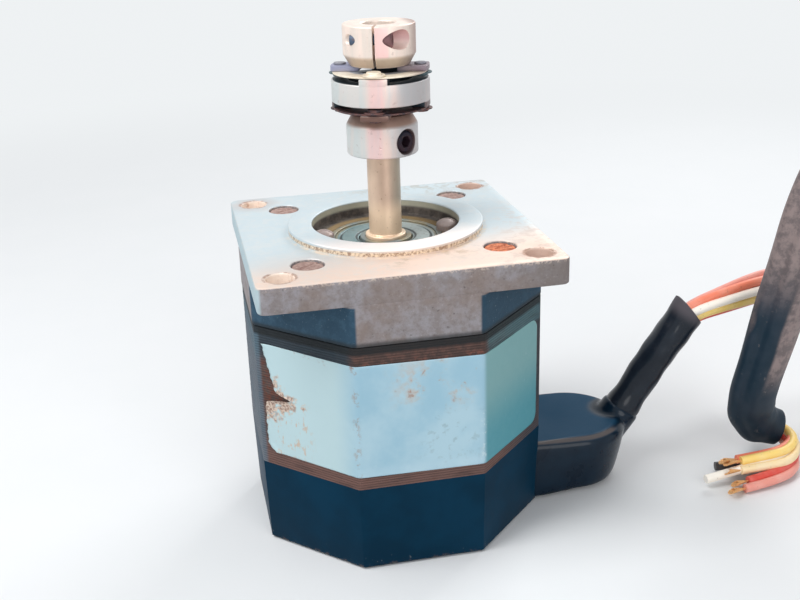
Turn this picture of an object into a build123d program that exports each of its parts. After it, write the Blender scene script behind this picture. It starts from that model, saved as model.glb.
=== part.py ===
"""Octagonal hybrid stepper motor with a double-disc shaft coupling and flying leads.

Millimetres, +Z up. The origin is the centre of the rear face, on the shaft's axis, and the
motor stands on that face with its output shaft up. The leads leave from the +X side.
"""

import os
from math import cos, pi, radians, sin, sqrt, tan

from build123d import *

os.makedirs("parts", exist_ok=True)

# ---------------------------------------------------------------- fits
seat_clearance = 0.03      # radial, between pieces that are pressed together
running_clearance = 0.05   # radial, between pieces that turn on each other
face_gap = 0.05            # along an axis, between pieces that only nearly touch

# ---------------------------------------------------------------- motor body
frame_width = 56.4         # across the flats of the flange and the front bell
chamfer_web = 1.311        # metal between the long screws' holes and the chamfered corners
flange_thickness = 5.0
flange_corner_radius = 1.6
front_bell_length = 12.9
stack_length = 28.5
rear_bell_length = 17.6
rear_bell_draft = 1.6      # degrees, inwards towards the rear face
stack_inset = 0.15         # how far the laminations stand back from the bells' faces
lamination_corner = 0.8
bell_edge = 0.6            # chamfer round the rear face
flange_edge = 0.3          # break round the mounting face, as left by facing it

pilot_diameter = 38.1
pilot_height = 1.5
pilot_recess_diameter = 28.8
bearing_depth = 1.6        # front bearing's face below the mounting face
pilot_edge_length = 0.3
recess_edge_length = 0.5

bolt_inset = 4.63          # mounting holes' centres inside the flange's sides
bolt_hole_diameter = 5.1
screw_inset = 10.3         # the same for the four long screws that hold the motor together
screw_diameter = 3.5
screw_head_diameter = 5.7
screw_head_edge = 0.35
screw_head_clearance = 0.2 # radial, round the head in its counterbore
screw_head_height = 2.2
screw_head_sink = 0.8      # top of the head below the mounting face
screw_engagement = 9.0     # how far each screw enters the rear bell
screw_run_out = 0.5        # depth of the threaded hole past the screw's end
screw_slot_width = 0.9
screw_slot_depth = 0.5
screw_slot_angle = 35.0    # degrees

back_iron = 6.05           # iron between the flats of the stack and the winding slots
coil_space_margin = 0.8    # radial room of the bells round the winding slots
rear_floor = 3.1           # thickness of the rear bell's floor under its bearing
coil_floor = 4.0           # the same under the ends of the coils
bearing_boss_wall = 2.4
bearing_boss_rise = 0.4    # rear boss above its bearing
front_web = 6.0            # metal left over the coil space, under the mounting face
shoulder_lip = 1.0         # lip that carries the inner side of the front bearing
shoulder_relief = 0.4      # radial, from the lip to the race's land

# ---------------------------------------------------------------- stator and rotor
pole_count = 8
teeth_per_pole = 5
rotor_teeth = 50
rotor_diameter = 28.2
air_gap = 0.1
tooth_depth = 0.9
tooth_share = 0.44         # tooth width as a share of the tooth pitch
pole_shoe = 1.7
pole_neck_width = 5.6
cup_length = 12.2
magnet_thickness = 3.2
magnet_diameter = 24.0
coil_thickness = 2.5
coil_wall_gap = 0.15       # between a coil and the metal or plastic beside it
bobbin_thickness = 0.9
bobbin_wall = 0.7
bobbin_wall_height = 3.2
bobbin_wall_overhang = 1.2 # of the wall past each side of the pole
bobbin_overlap = 0.2       # of the spokes into the ring and the wall

# ---------------------------------------------------------------- bearings and shaft
bearing_bore = 8.0
bearing_outside = 22.0
bearing_width = 7.0
ball_diameter = 3.97
ball_count = 7
inner_land_diameter = 12.1
outer_land_diameter = 18.5
shield_notch_diameter = 10.1   # step of the inner race that the shield's lip runs in
shield_seat_diameter = 20.0    # groove of the outer race that the shield is rolled into
shield_thickness = 0.3
shield_recess = 0.35
shield_step_diameter = 16.4
shield_lip_gap = 0.25      # from the shield's lip to the inner race
race_edge = 0.3
groove_slack = 0.04        # radial, from the balls to their grooves
cage_share = 0.7           # cage length as a share of the bearing's width
cage_thickness = 1.0
washer_thickness = 0.3
washer_free_height = 0.8
washer_width = 2.15

shaft_diameter = 6.35
shaft_core_diameter = 10.0
journal_stand_out = 0.6    # how far the bearing journal shows above the front bearing
shaft_in_hub = 7.6         # how far the shaft enters the lower hub
rear_shaft_sink = 0.3      # rear end below the rear bearing
shaft_edge = 0.5
journal_edge = 0.3
retainer_circle_diameter = 24.8   # the two screws that hold the front bearing in
retainer_head_diameter = 3.8
retainer_head_height = 1.7
retainer_shank_diameter = 2.0
retainer_shank_length = 4.0
retainer_head_edge = 0.6
retainer_run_out = 0.3     # depth of the threaded hole past the screw's end

# ---------------------------------------------------------------- shaft coupling
coupling_base = 15.1       # underside of the lower hub above the mounting face
coupling_angle = -110.0    # degrees about +Z, direction of the clamp slit and the upper lugs
hub_diameter = 13.6
hub_length = 5.5
hub_cone_length = 2.1
hub_neck_diameter = 11.2
hub_lug_height = 0.95
hub_edge = 0.4
coupling_bore = 6.35
lug_diameter = 18.5        # outside of the lugs and of the ring between the discs
disc_diameter = 17.9
disc_bore = 9.2
disc_thickness = 0.3
rivet_circle = 15.2
lug_width = 5.2
ring_height = 4.1
ring_bore = 12.0
ring_lug_height = 1.1
rivet_shank = 1.6
rivet_head = 2.7
rivet_head_height = 0.45
rivet_washer = 0.75        # radial, of the washer past the rivet's head
rivet_washer_thickness = 0.3
rivet_tail = 0.35          # height of the formed end, and its width past the shank
rivet_blind = 1.2          # depth of the ring's rivets in its body
rivet_hole_gap = 0.06      # radial, of the discs round their rivets
ring_edge = 0.2
lug_root = 0.4             # depth of the ring's lugs in its body
set_screw_diameter = 4.0
set_screw_angle = -57.8
set_screw_socket = 2.0
slit_width = 0.6
clamp_screw_diameter = 2.0
clamp_screw_head = 3.4
clamp_screw_head_height = 1.7
clamp_screw_offset = 4.8   # screw's axis from the bore's axis
clamp_screw_drop = 2.5     # screw's axis below the top of the hub
clamp_seat = 1.5           # seat of the screw's head from the slit's middle
clamp_head_gap = 0.1       # radial, round the screw's head
clamp_screw_sink = 0.9     # screw's end below the hub's surface
clamp_screw_wall = 0.15    # between the screw's shank and its socket's flats
socket_share = 0.6         # depth of both sockets as a share of the screw or its head

# ---------------------------------------------------------------- leads
boot_width = 24.4
boot_height = 12.4
boot_lift = 0.6            # underside above the rear face
boot_reach = 51.0          # tip of the nose from the shaft's axis
boot_edge = 1.4
lead_angle = 55.8          # rise of the shrink tube above the horizontal
lead_root = (49.4, 0.0, 10.6)
tube_outside = 7.2
tube_wall = 0.5
tube_length = 28.6
tube_overhang = 3.0        # open end of the tube past the cut of its filling
collar_diameter = 8.4
collar_length = 3.4
collar_sink = 4.0          # depth of the collar's foot in the boot
lead_exit_run = 2.2        # straight run of the leads past the tube's mouth
cable_slot_width = 9.0
cable_slot_height = 5.0
cable_slot_corner = 1.2
boot_wrap = 1.0            # how far boot and slot reach past the coil space
bundle_diameter = 5.6
sleeve_diameter = 8.6
tail_diameter = 4.2
# Route of the leads past the shrink tube, round their loop and down to the cut ends.
route = [
    (73.5, 0.8, 37.3),
    (83.0, 2.0, 37.6),
    (98.0, 3.5, 38.8),
    (116.0, 3.0, 42.5),
    (129.0, 0.0, 55.0),
    (131.5, -4.0, 73.0),
    (121.5, -8.5, 87.5),
    (105.0, -11.5, 89.0),
    (92.0, -12.5, 77.5),
    (85.2, -12.5, 61.5),
    (81.2, -12.3, 44.5),
    (78.8, -11.0, 28.5),
    (77.0, -8.8, 16.0),
    (79.4, -6.0, 8.8),
    (86.2, -4.2, 5.2),
    (91.0, -6.2, 4.4),
    (92.0, -11.2, 3.8),
    (89.0, -15.4, 3.3),
    (83.6, -17.0, 2.9),
    (77.0, -17.2, 2.7),
    (70.8, -17.9, 2.45),
    (65.3, -17.4, 2.3),
]
sleeve_start = (105.0, -11.5, 89.0)   # the sleeve begins half-way along the run after this
tail_start = (79.4, -6.0, 8.8)        # the bare wires begin half-way along the run after this

# ---------------------------------------------------------------- derived levels
body_length = rear_bell_length + stack_length + front_bell_length
stack_bottom = rear_bell_length
stack_top = stack_bottom + stack_length
stack_middle = stack_bottom + stack_length / 2
mounting_face = body_length
front_bearing_top = mounting_face - bearing_depth
front_bearing_bottom = front_bearing_top - bearing_width
rear_bearing_bottom = rear_floor + washer_free_height + face_gap
rear_bearing_top = rear_bearing_bottom + bearing_width
rotor_bottom = stack_middle - magnet_thickness / 2 - cup_length
rotor_top = stack_middle + magnet_thickness / 2 + cup_length
bearing_seat_radius = bearing_outside / 2 + seat_clearance
stator_bore_radius = rotor_diameter / 2 + air_gap
pitch_radius = (bearing_bore + bearing_outside) / 4

bolt_spacing = frame_width - 2 * bolt_inset
screw_spacing = frame_width - 2 * screw_inset
screw_hole_radius = screw_diameter / 2 + running_clearance
bell_flat = 2 * (screw_spacing + sqrt(2) * (screw_hole_radius + chamfer_web)) - frame_width
slot_radius = frame_width / 2 - stack_inset - back_iron
coil_space_radius = slot_radius + coil_space_margin

hub_total = hub_length + hub_cone_length + hub_lug_height
lower_hub_top = mounting_face + coupling_base + hub_total
lower_disc_bottom = lower_hub_top + face_gap
ring_bottom = lower_disc_bottom + disc_thickness + face_gap + ring_lug_height
ring_top = ring_bottom + ring_height
upper_disc_bottom = ring_top + ring_lug_height + face_gap
clamp_hub_bottom = upper_disc_bottom + disc_thickness + face_gap
clamp_hub_top = clamp_hub_bottom + hub_total


def finish(part, name):
    """Label a finished piece and write it as its own STEP file."""
    part.label = name
    export_step(part, f"parts/{name}.step")
    print(f"{name}: {len(part.solids())} solids, {part.volume:.1f} mm3")


def octagon(width, flat):
    """A square with its corners chamfered so that each side keeps its flat."""
    with BuildSketch() as outline:
        Rectangle(width, width)
        chamfer(outline.vertices(), length=(width - flat) / 2)
    return outline.sketch


def rear_bell_blank():
    """The rear bell's outside: an octagon that narrows a little towards the rear face."""
    with BuildPart() as blank:
        with BuildSketch(Plane.XY.offset(rear_bell_length)):
            add(octagon(frame_width - 2 * stack_inset, bell_flat))
        extrude(amount=-rear_bell_length, taper=rear_bell_draft)
        chamfer(blank.faces().sort_by(Axis.Z)[0].edges(), length=bell_edge)
    return blank.part


# ================================================================ housing
with BuildPart() as front_bell:
    with BuildSketch(Plane.XY.offset(mounting_face - flange_thickness)) as flange_outline:
        RectangleRounded(frame_width, frame_width, flange_corner_radius)
    extrude(amount=flange_thickness)
    with BuildSketch(Plane.XY.offset(stack_top)):
        add(octagon(frame_width, bell_flat))
    extrude(amount=front_bell_length - flange_thickness)
    with BuildSketch(Plane.XY.offset(mounting_face)):
        Circle(pilot_diameter / 2)
    extrude(amount=pilot_height)
    pilot_rim = front_bell.edges().filter_by(GeomType.CIRCLE).sort_by(Axis.Z)[-1]
    chamfer(pilot_rim, length=pilot_edge_length)
    # coil space, ring-shaped, with the bearing boss left standing in it
    coil_ceiling = mounting_face - front_web
    with BuildSketch(Plane.XY.offset(stack_top)):
        Circle(coil_space_radius)
        Circle(bearing_seat_radius + bearing_boss_wall, mode=Mode.SUBTRACT)
    extrude(amount=coil_ceiling - stack_top, mode=Mode.SUBTRACT)
    boss_bottom = front_bearing_bottom - shoulder_lip
    with BuildSketch(Plane.XY.offset(stack_top)):
        Circle(bearing_seat_radius + bearing_boss_wall)
    extrude(amount=boss_bottom - stack_top, mode=Mode.SUBTRACT)
    # bearing seat, its lip and the wide recess in the pilot
    with BuildSketch(Plane.XY.offset(boss_bottom)):
        Circle(outer_land_diameter / 2 + shoulder_relief)
    extrude(amount=shoulder_lip, mode=Mode.SUBTRACT)
    with BuildSketch(Plane.XY.offset(front_bearing_bottom)):
        Circle(bearing_seat_radius)
    extrude(amount=bearing_width + bearing_depth + pilot_height, mode=Mode.SUBTRACT)
    with BuildSketch(Plane.XY.offset(front_bearing_top)):
        Circle(pilot_recess_diameter / 2)
    extrude(amount=bearing_depth + pilot_height, mode=Mode.SUBTRACT)
    recess_rim = front_bell.edges().filter_by(GeomType.CIRCLE).group_by(Axis.Z)[-1].sort_by(SortBy.RADIUS)[0]
    chamfer(recess_rim, length=recess_edge_length)
    # mounting holes, and counterbored holes for the long screws
    with Locations((0, 0, mounting_face)):
        with GridLocations(bolt_spacing, bolt_spacing, 2, 2):
            Hole(bolt_hole_diameter / 2, depth=flange_thickness)
        with GridLocations(screw_spacing, screw_spacing, 2, 2):
            CounterBoreHole(
                screw_hole_radius,
                screw_head_diameter / 2 + screw_head_clearance,
                screw_head_sink + screw_head_height,
                depth=front_bell_length,
            )
    # threaded holes of the two screws that hold the bearing in
    with Locations((0, 0, front_bearing_top)):
        with PolarLocations(retainer_circle_diameter / 2, 2):
            Hole(retainer_shank_diameter / 2 + seat_clearance, depth=retainer_shank_length)
    # a small edge break round the mounting face, as left by facing it
    face_rim = [
        edge for edge in front_bell.edges().filter_by(Plane.XY)
        if abs(edge.center().Z - mounting_face) < 0.01
        and max(abs(edge.center().X), abs(edge.center().Y)) > frame_width / 2 - flange_corner_radius
    ]
    chamfer(face_rim, length=flange_edge)
finish(front_bell.part, "front_bell")

with BuildPart() as rear_bell:
    add(rear_bell_blank())
    with BuildSketch(Plane.XY.offset(coil_floor)):
        Circle(coil_space_radius)
        Circle(bearing_seat_radius + bearing_boss_wall, mode=Mode.SUBTRACT)
    extrude(amount=rear_bell_length - rear_floor, mode=Mode.SUBTRACT)
    with BuildSketch(Plane.XY.offset(rear_bearing_top + bearing_boss_rise)):
        Circle(bearing_seat_radius + bearing_boss_wall)
    extrude(amount=rear_bell_length, mode=Mode.SUBTRACT)
    with BuildSketch(Plane.XY.offset(rear_floor)):
        Circle(bearing_seat_radius)
    extrude(amount=rear_bell_length, mode=Mode.SUBTRACT)
    with BuildSketch(Plane.XY.offset(rear_bell_length)):
        with GridLocations(screw_spacing, screw_spacing, 2, 2):
            Circle(screw_diameter / 2 + seat_clearance)
    extrude(amount=-screw_engagement - screw_run_out, mode=Mode.SUBTRACT)
    # slot through which the leads pass into the boot
    with BuildSketch(Plane.YZ.offset(coil_space_radius - boot_wrap)):
        with Locations((0, boot_lift + boot_height / 2)):
            RectangleRounded(cable_slot_width, cable_slot_height, cable_slot_corner)
    extrude(amount=frame_width / 2, mode=Mode.SUBTRACT)
finish(rear_bell.part, "rear_bell")

with BuildPart() as housing_screws:
    head_top = mounting_face - screw_head_sink
    head_bottom = head_top - screw_head_height
    with BuildSketch(Plane.XY.offset(head_bottom)):
        with GridLocations(screw_spacing, screw_spacing, 2, 2):
            Circle(screw_head_diameter / 2)
    extrude(amount=screw_head_height)
    chamfer(housing_screws.edges().filter_by(GeomType.CIRCLE).group_by(Axis.Z)[-1], length=screw_head_edge)
    with BuildSketch(Plane.XY.offset(head_bottom)):
        with GridLocations(screw_spacing, screw_spacing, 2, 2):
            Circle(screw_diameter / 2)
    extrude(amount=stack_bottom - screw_engagement - head_bottom)
    with BuildSketch(Plane.XY.offset(head_top)):
        with GridLocations(screw_spacing, screw_spacing, 2, 2):
            Rectangle(2 * screw_head_diameter, screw_slot_width, rotation=screw_slot_angle)
    extrude(amount=-screw_slot_depth, mode=Mode.SUBTRACT)
finish(housing_screws.part, "housing_screws")

with BuildPart() as bearing_clamp_screws:
    with PolarLocations(retainer_circle_diameter / 2, 2):
        with Locations((0, 0, front_bearing_top)):
            Cylinder(
                retainer_head_diameter / 2, retainer_head_height,
                align=(Align.CENTER, Align.CENTER, Align.MIN),
            )
        with Locations((0, 0, front_bearing_top)):
            Cylinder(
                retainer_shank_diameter / 2, retainer_shank_length - retainer_run_out,
                align=(Align.CENTER, Align.CENTER, Align.MAX),
            )
    chamfer(bearing_clamp_screws.edges().filter_by(GeomType.CIRCLE).group_by(Axis.Z)[-1], length=retainer_head_edge)
finish(bearing_clamp_screws.part, "bearing_clamp_screws")

# ================================================================ stator
tooth_pitch = 360 / rotor_teeth
pole_span = (teeth_per_pole - 1) * tooth_pitch + tooth_share * tooth_pitch
shoe_radius = stator_bore_radius + pole_shoe

with BuildPart() as stator_core:
    with BuildSketch(Plane.XY.offset(stack_bottom)) as lamination:
        add(octagon(frame_width - 2 * stack_inset, bell_flat))
        fillet(lamination.vertices(), radius=lamination_corner)
        Circle(slot_radius, mode=Mode.SUBTRACT)
        with PolarLocations((shoe_radius + slot_radius) / 2, pole_count):
            Rectangle(slot_radius - shoe_radius + pole_shoe, pole_neck_width)
        for pole in range(pole_count):
            middle = pole * 360 / pole_count
            with BuildLine():
                inner = CenterArc((0, 0), stator_bore_radius, middle - pole_span / 2, pole_span)
                outer = CenterArc((0, 0), shoe_radius, middle - pole_span / 2, pole_span)
                Line(inner @ 0, outer @ 0)
                Line(inner @ 1, outer @ 1)
            make_face()
            for gap in range(teeth_per_pole - 1):
                gap_angle = middle + (gap - (teeth_per_pole - 2) / 2) * tooth_pitch
                with PolarLocations(stator_bore_radius, 1, start_angle=gap_angle):
                    Rectangle(
                        2 * tooth_depth,
                        radians((1 - tooth_share) * tooth_pitch) * stator_bore_radius,
                        mode=Mode.SUBTRACT,
                    )
        with GridLocations(screw_spacing, screw_spacing, 2, 2):
            Circle(screw_hole_radius, mode=Mode.SUBTRACT)
    extrude(amount=stack_length)
finish(stator_core.part, "stator_core")


def bobbin_frame(level, height_sign):
    """Insulating ring on one end of the stack, with a spoke and a low wall on each pole."""
    spoke_start = shoe_radius - bobbin_wall - bobbin_overlap
    spoke_end = slot_radius + bobbin_overlap
    with BuildPart() as ring:
        with BuildSketch(Plane.XY.offset(level)):
            Circle(coil_space_radius - face_gap)
            Circle(slot_radius, mode=Mode.SUBTRACT)
            with PolarLocations((spoke_start + spoke_end) / 2, pole_count):
                Rectangle(spoke_end - spoke_start, pole_neck_width)
        extrude(amount=height_sign * bobbin_thickness)
        with BuildSketch(Plane.XY.offset(level)):
            with PolarLocations(shoe_radius - bobbin_wall / 2 - 2 * face_gap, pole_count):
                Rectangle(bobbin_wall, pole_neck_width + 2 * bobbin_wall_overhang)
        extrude(amount=height_sign * (bobbin_thickness + bobbin_wall_height))
    return ring.part


finish(bobbin_frame(stack_top, 1), "front_bobbin_frame")
finish(bobbin_frame(stack_bottom, -1), "rear_bobbin_frame")

coil_inner_x = shoe_radius + 2 * face_gap
coil_window_height = stack_length + 2 * (bobbin_thickness + coil_wall_gap)
coil_window_width = pole_neck_width + 2 * coil_wall_gap
coil_half_width = coil_window_width / 2 + coil_thickness
coil_outer_x = sqrt(slot_radius**2 - coil_half_width**2) - coil_wall_gap


def coil_set(first_pole):
    """Every second pole's coil: a flat ring of wire wound round the pole's neck."""
    with BuildPart() as coils:
        for turn in range(pole_count // 2):
            angle = radians((first_pole + 2 * turn) * 360 / pole_count)
            outwards = Vector(cos(angle), sin(angle), 0)
            start = outwards * coil_inner_x + Vector(0, 0, stack_middle)
            with BuildSketch(Plane(origin=start, x_dir=(0, 0, 1), z_dir=outwards)):
                RectangleRounded(
                    coil_window_height + 2 * coil_thickness,
                    coil_window_width + 2 * coil_thickness,
                    coil_thickness,
                )
                Rectangle(coil_window_height, coil_window_width, mode=Mode.SUBTRACT)
            extrude(amount=coil_outer_x - coil_inner_x)
    return coils.part


finish(coil_set(0), "phase_a_coils")
finish(coil_set(1), "phase_b_coils")


# ================================================================ bearings
def turned(points, level):
    """A ring turned to a closed profile of (radius, height) points, standing on a level."""
    with BuildPart() as ring:
        with BuildSketch(Plane.XZ.shift_origin((0, 0, level))):
            with BuildLine():
                Polyline(*points, close=True)
            make_face()
        revolve(axis=Axis.Z)
    return ring.part


groove_radius = ball_diameter / 2 + groove_slack
cage_length = cage_share * bearing_width
shield_ledge = shield_recess + shield_thickness


def grooved(points, level):
    """A turned race with the ball groove cut into it."""
    with BuildPart() as race:
        add(turned(points, level))
        with BuildSketch(Plane.XZ.shift_origin((0, 0, level))):
            with Locations((pitch_radius, bearing_width / 2)):
                Circle(groove_radius)
        revolve(axis=Axis.Z, mode=Mode.SUBTRACT)
    return race.part


def make_bearing(prefix, level):
    """Deep-groove ball bearing with a pressed shield on each side, in five nodes."""
    bore = bearing_bore / 2
    outside = bearing_outside / 2
    notch = shield_notch_diameter / 2
    notch_depth = shield_ledge + shield_lip_gap
    inner = inner_land_diameter / 2
    outer = outer_land_diameter / 2
    seat = shield_seat_diameter / 2
    edge = race_edge
    finish(
        grooved(
            [
                (outside, edge), (outside - edge, 0), (seat, 0), (seat, shield_ledge), (outer, shield_ledge),
                (outer, bearing_width - shield_ledge), (seat, bearing_width - shield_ledge),
                (seat, bearing_width), (outside - edge, bearing_width), (outside, bearing_width - edge),
            ],
            level,
        ),
        f"{prefix}_outer_race",
    )
    finish(
        grooved(
            [
                (bore, 0), (notch, 0), (notch, notch_depth), (inner, notch_depth),
                (inner, bearing_width - notch_depth), (notch, bearing_width - notch_depth),
                (notch, bearing_width), (bore, bearing_width),
            ],
            level,
        ),
        f"{prefix}_inner_race",
    )
    with BuildPart() as balls:
        with Locations((0, 0, level + bearing_width / 2)):
            with PolarLocations(pitch_radius, ball_count):
                Sphere(ball_diameter / 2)
    finish(balls.part, f"{prefix}_balls")
    with BuildPart() as cage:
        with BuildSketch(Plane.XY.offset(level + (bearing_width - cage_length) / 2)):
            Circle(pitch_radius + cage_thickness / 2)
            Circle(pitch_radius - cage_thickness / 2, mode=Mode.SUBTRACT)
        extrude(amount=cage_length)
        for ball in range(ball_count):
            angle = radians(ball * 360 / ball_count)
            outwards = Vector(cos(angle), sin(angle), 0)
            with BuildSketch(Plane(origin=(0, 0, level + bearing_width / 2), z_dir=outwards)):
                Circle(ball_diameter / 2 + 2 * running_clearance)
            extrude(amount=bearing_outside / 2, mode=Mode.SUBTRACT)
    finish(cage.part, f"{prefix}_cage")
    # shields: a flat rim in the outer race, a step, and a lip that clears the inner race
    lip = notch + shield_lip_gap
    rim = seat - seat_clearance
    step = shield_step_diameter / 2
    lift = shield_recess / 2
    profile = [
        (rim, 0), (rim, shield_thickness), (step, shield_thickness),
        (step - lift, shield_thickness + lift), (lip, shield_thickness + lift),
        (lip, lift), (step - lift, lift), (step, 0),
    ]
    with BuildPart() as shields:
        add(turned(profile, level + bearing_width - shield_ledge))
        add(turned([(r, -z) for r, z in profile], level + shield_ledge))
    finish(shields.part, f"{prefix}_shields")


make_bearing("front_bearing", front_bearing_bottom)
make_bearing("rear_bearing", rear_bearing_bottom)

with BuildPart() as spring_washer:
    washer_outside = bearing_outside / 2 - race_edge
    washer_inside = washer_outside - washer_width
    arch = washer_free_height - washer_thickness
    bend_radius = (washer_outside**2 + arch**2) / (2 * arch)
    bend_centre = rear_floor - sqrt(bend_radius**2 - washer_outside**2)
    with BuildSketch(Plane.XY.offset(rear_floor - washer_free_height)):
        Circle(washer_outside)
        Circle(washer_inside, mode=Mode.SUBTRACT)
    extrude(amount=3 * washer_free_height)
    with BuildSketch(Plane.XZ):
        with Locations((0, bend_centre)):
            Circle(bend_radius + washer_thickness)
            Circle(bend_radius, mode=Mode.SUBTRACT)
    extrude(amount=bearing_outside, both=True, mode=Mode.INTERSECT)
finish(spring_washer.part, "spring_washer")

# ================================================================ rotor
journal_radius = bearing_bore / 2 - seat_clearance
core_radius = shaft_core_diameter / 2
output_radius = shaft_diameter / 2
shaft_end = mounting_face + coupling_base + shaft_in_hub
rear_end = rear_bearing_bottom - rear_shaft_sink
collar_end = front_bearing_top + journal_stand_out
finish(
    turned(
        [
            (0, rear_end), (journal_radius - journal_edge, rear_end), (journal_radius, rear_end + journal_edge),
            (journal_radius, rear_bearing_top), (core_radius, rear_bearing_top),
            (core_radius, front_bearing_bottom), (journal_radius, front_bearing_bottom),
            (journal_radius, collar_end - journal_edge), (journal_radius - journal_edge, collar_end),
            (output_radius, collar_end), (output_radius, shaft_end - shaft_edge),
            (output_radius - shaft_edge, shaft_end), (0, shaft_end),
        ],
        0,
    ),
    "shaft",
)


def rotor_cup(level, offset_angle):
    """Laminated rotor cup with a tooth for every step of the motor's full turn."""
    with BuildPart() as cup:
        with BuildSketch(Plane.XY.offset(level)):
            Circle(rotor_diameter / 2)
            with PolarLocations(rotor_diameter / 2, rotor_teeth, start_angle=offset_angle):
                Rectangle(
                    2 * tooth_depth,
                    radians((1 - tooth_share) * tooth_pitch) * rotor_diameter / 2,
                    mode=Mode.SUBTRACT,
                )
            Circle(core_radius + seat_clearance, mode=Mode.SUBTRACT)
        extrude(amount=cup_length)
    return cup.part


finish(rotor_cup(rotor_bottom, 0), "rear_rotor_cup")
finish(rotor_cup(rotor_top - cup_length, tooth_pitch / 2), "front_rotor_cup")

with BuildPart() as rotor_magnet:
    with BuildSketch(Plane.XY.offset(rotor_bottom + cup_length)):
        Circle(magnet_diameter / 2)
        Circle(core_radius + seat_clearance, mode=Mode.SUBTRACT)
    extrude(amount=magnet_thickness)
finish(rotor_magnet.part, "rotor_magnet")

# ================================================================ shaft coupling
lug_line = radians(coupling_angle)
lug_direction = Vector(cos(lug_line), sin(lug_line), 0)
cross_direction = Vector(-sin(lug_line), cos(lug_line), 0)
rivet_radius = rivet_circle / 2
disc_pack = disc_thickness + 2 * face_gap


def hub_blank(diameter, bore):
    """A hub standing on its outer end: barrel, cone and two ears that carry the rivets."""
    with BuildPart() as blank:
        add(
            turned(
                [
                    (0, 0), (diameter / 2 - hub_edge, 0), (diameter / 2, hub_edge), (diameter / 2, hub_length),
                    (hub_neck_diameter / 2, hub_length + hub_cone_length), (0, hub_length + hub_cone_length),
                ],
                0,
            )
        )
        with BuildSketch(Plane.XY.offset(hub_length + hub_cone_length)):
            Circle(lug_diameter / 2)
            Rectangle(lug_diameter, lug_width, mode=Mode.INTERSECT)
        extrude(amount=hub_lug_height)
        with BuildSketch(Plane.XY.offset(hub_total)):
            Circle(bore)
        extrude(amount=-hub_total, mode=Mode.SUBTRACT)
        with BuildSketch(Plane.XY.offset(hub_total)):
            with PolarLocations(rivet_radius, 2):
                Circle(rivet_shank / 2 + seat_clearance)
        extrude(amount=-hub_lug_height, mode=Mode.SUBTRACT)
    return blank.part


def rivet_pair(seat, axis, along, tail_depth, formed):
    """Two rivets seated on the lugs at one level, with their heads past the disc."""
    shank = rivet_shank / 2
    head = rivet_head / 2
    washer = head + rivet_washer
    washer_top = disc_pack + rivet_washer_thickness
    top = washer_top + rivet_head_height
    tail = shank + rivet_tail
    profile = [(0, top), (head, top), (head, washer_top)]
    profile += [(washer, washer_top), (washer, disc_pack), (shank, disc_pack), (shank, -tail_depth)]
    if formed:
        profile += [(tail, -tail_depth), (tail, -tail_depth - rivet_tail), (0, -tail_depth - rivet_tail)]
    else:
        profile += [(0, -tail_depth)]
    rivet = turned(profile, 0)
    with BuildPart() as pair:
        for side in (-1, 1):
            centre = along * (side * rivet_radius) + Vector(0, 0, seat)
            add(rivet.moved(Plane(origin=centre, x_dir=along, z_dir=axis).location))
    return pair.part


def flexible_disc(level):
    """Thin spring-steel disc with a hole for each rivet."""
    with BuildPart() as disc:
        with BuildSketch(Plane.XY.offset(level)):
            Circle(disc_diameter / 2)
            Circle(disc_bore / 2, mode=Mode.SUBTRACT)
            with PolarLocations(rivet_radius, 4, start_angle=coupling_angle):
                Circle(rivet_shank / 2 + rivet_hole_gap, mode=Mode.SUBTRACT)
        extrude(amount=disc_thickness)
    return disc.part


set_screw_line = radians(set_screw_angle)
set_screw_axis = Vector(cos(set_screw_line), sin(set_screw_line), 0)
set_screw_level = mounting_face + coupling_base + hub_length / 2
set_screw_tip = output_radius + seat_clearance
with BuildPart() as shaft_hub:
    foot = Plane(origin=(0, 0, mounting_face + coupling_base), x_dir=lug_direction, z_dir=(0, 0, 1))
    add(hub_blank(hub_diameter, output_radius + seat_clearance).moved(foot.location))
    with BuildSketch(Plane(origin=(0, 0, set_screw_level), z_dir=set_screw_axis)):
        Circle(set_screw_diameter / 2 + seat_clearance)
    extrude(amount=hub_diameter, mode=Mode.SUBTRACT)
finish(shaft_hub.part, "shaft_hub")

with BuildPart() as set_screw:
    tip = set_screw_axis * set_screw_tip + Vector(0, 0, set_screw_level)
    set_screw_length = sqrt((hub_diameter / 2) ** 2 - (set_screw_diameter / 2) ** 2) - set_screw_tip
    with BuildSketch(Plane(origin=tip, z_dir=set_screw_axis)):
        Circle(set_screw_diameter / 2)
    extrude(amount=set_screw_length)
    with BuildSketch(Plane(origin=tip + set_screw_axis * set_screw_length, z_dir=set_screw_axis)):
        RegularPolygon(set_screw_socket / 2, 6, major_radius=False)
    extrude(amount=-socket_share * set_screw_length, mode=Mode.SUBTRACT)
finish(set_screw.part, "set_screw")

up = Vector(0, 0, 1)
down = Vector(0, 0, -1)
finish(rivet_pair(lower_hub_top, up, lug_direction, hub_lug_height, True), "lower_hub_rivets")
finish(flexible_disc(lower_disc_bottom), "lower_disc")

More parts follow.
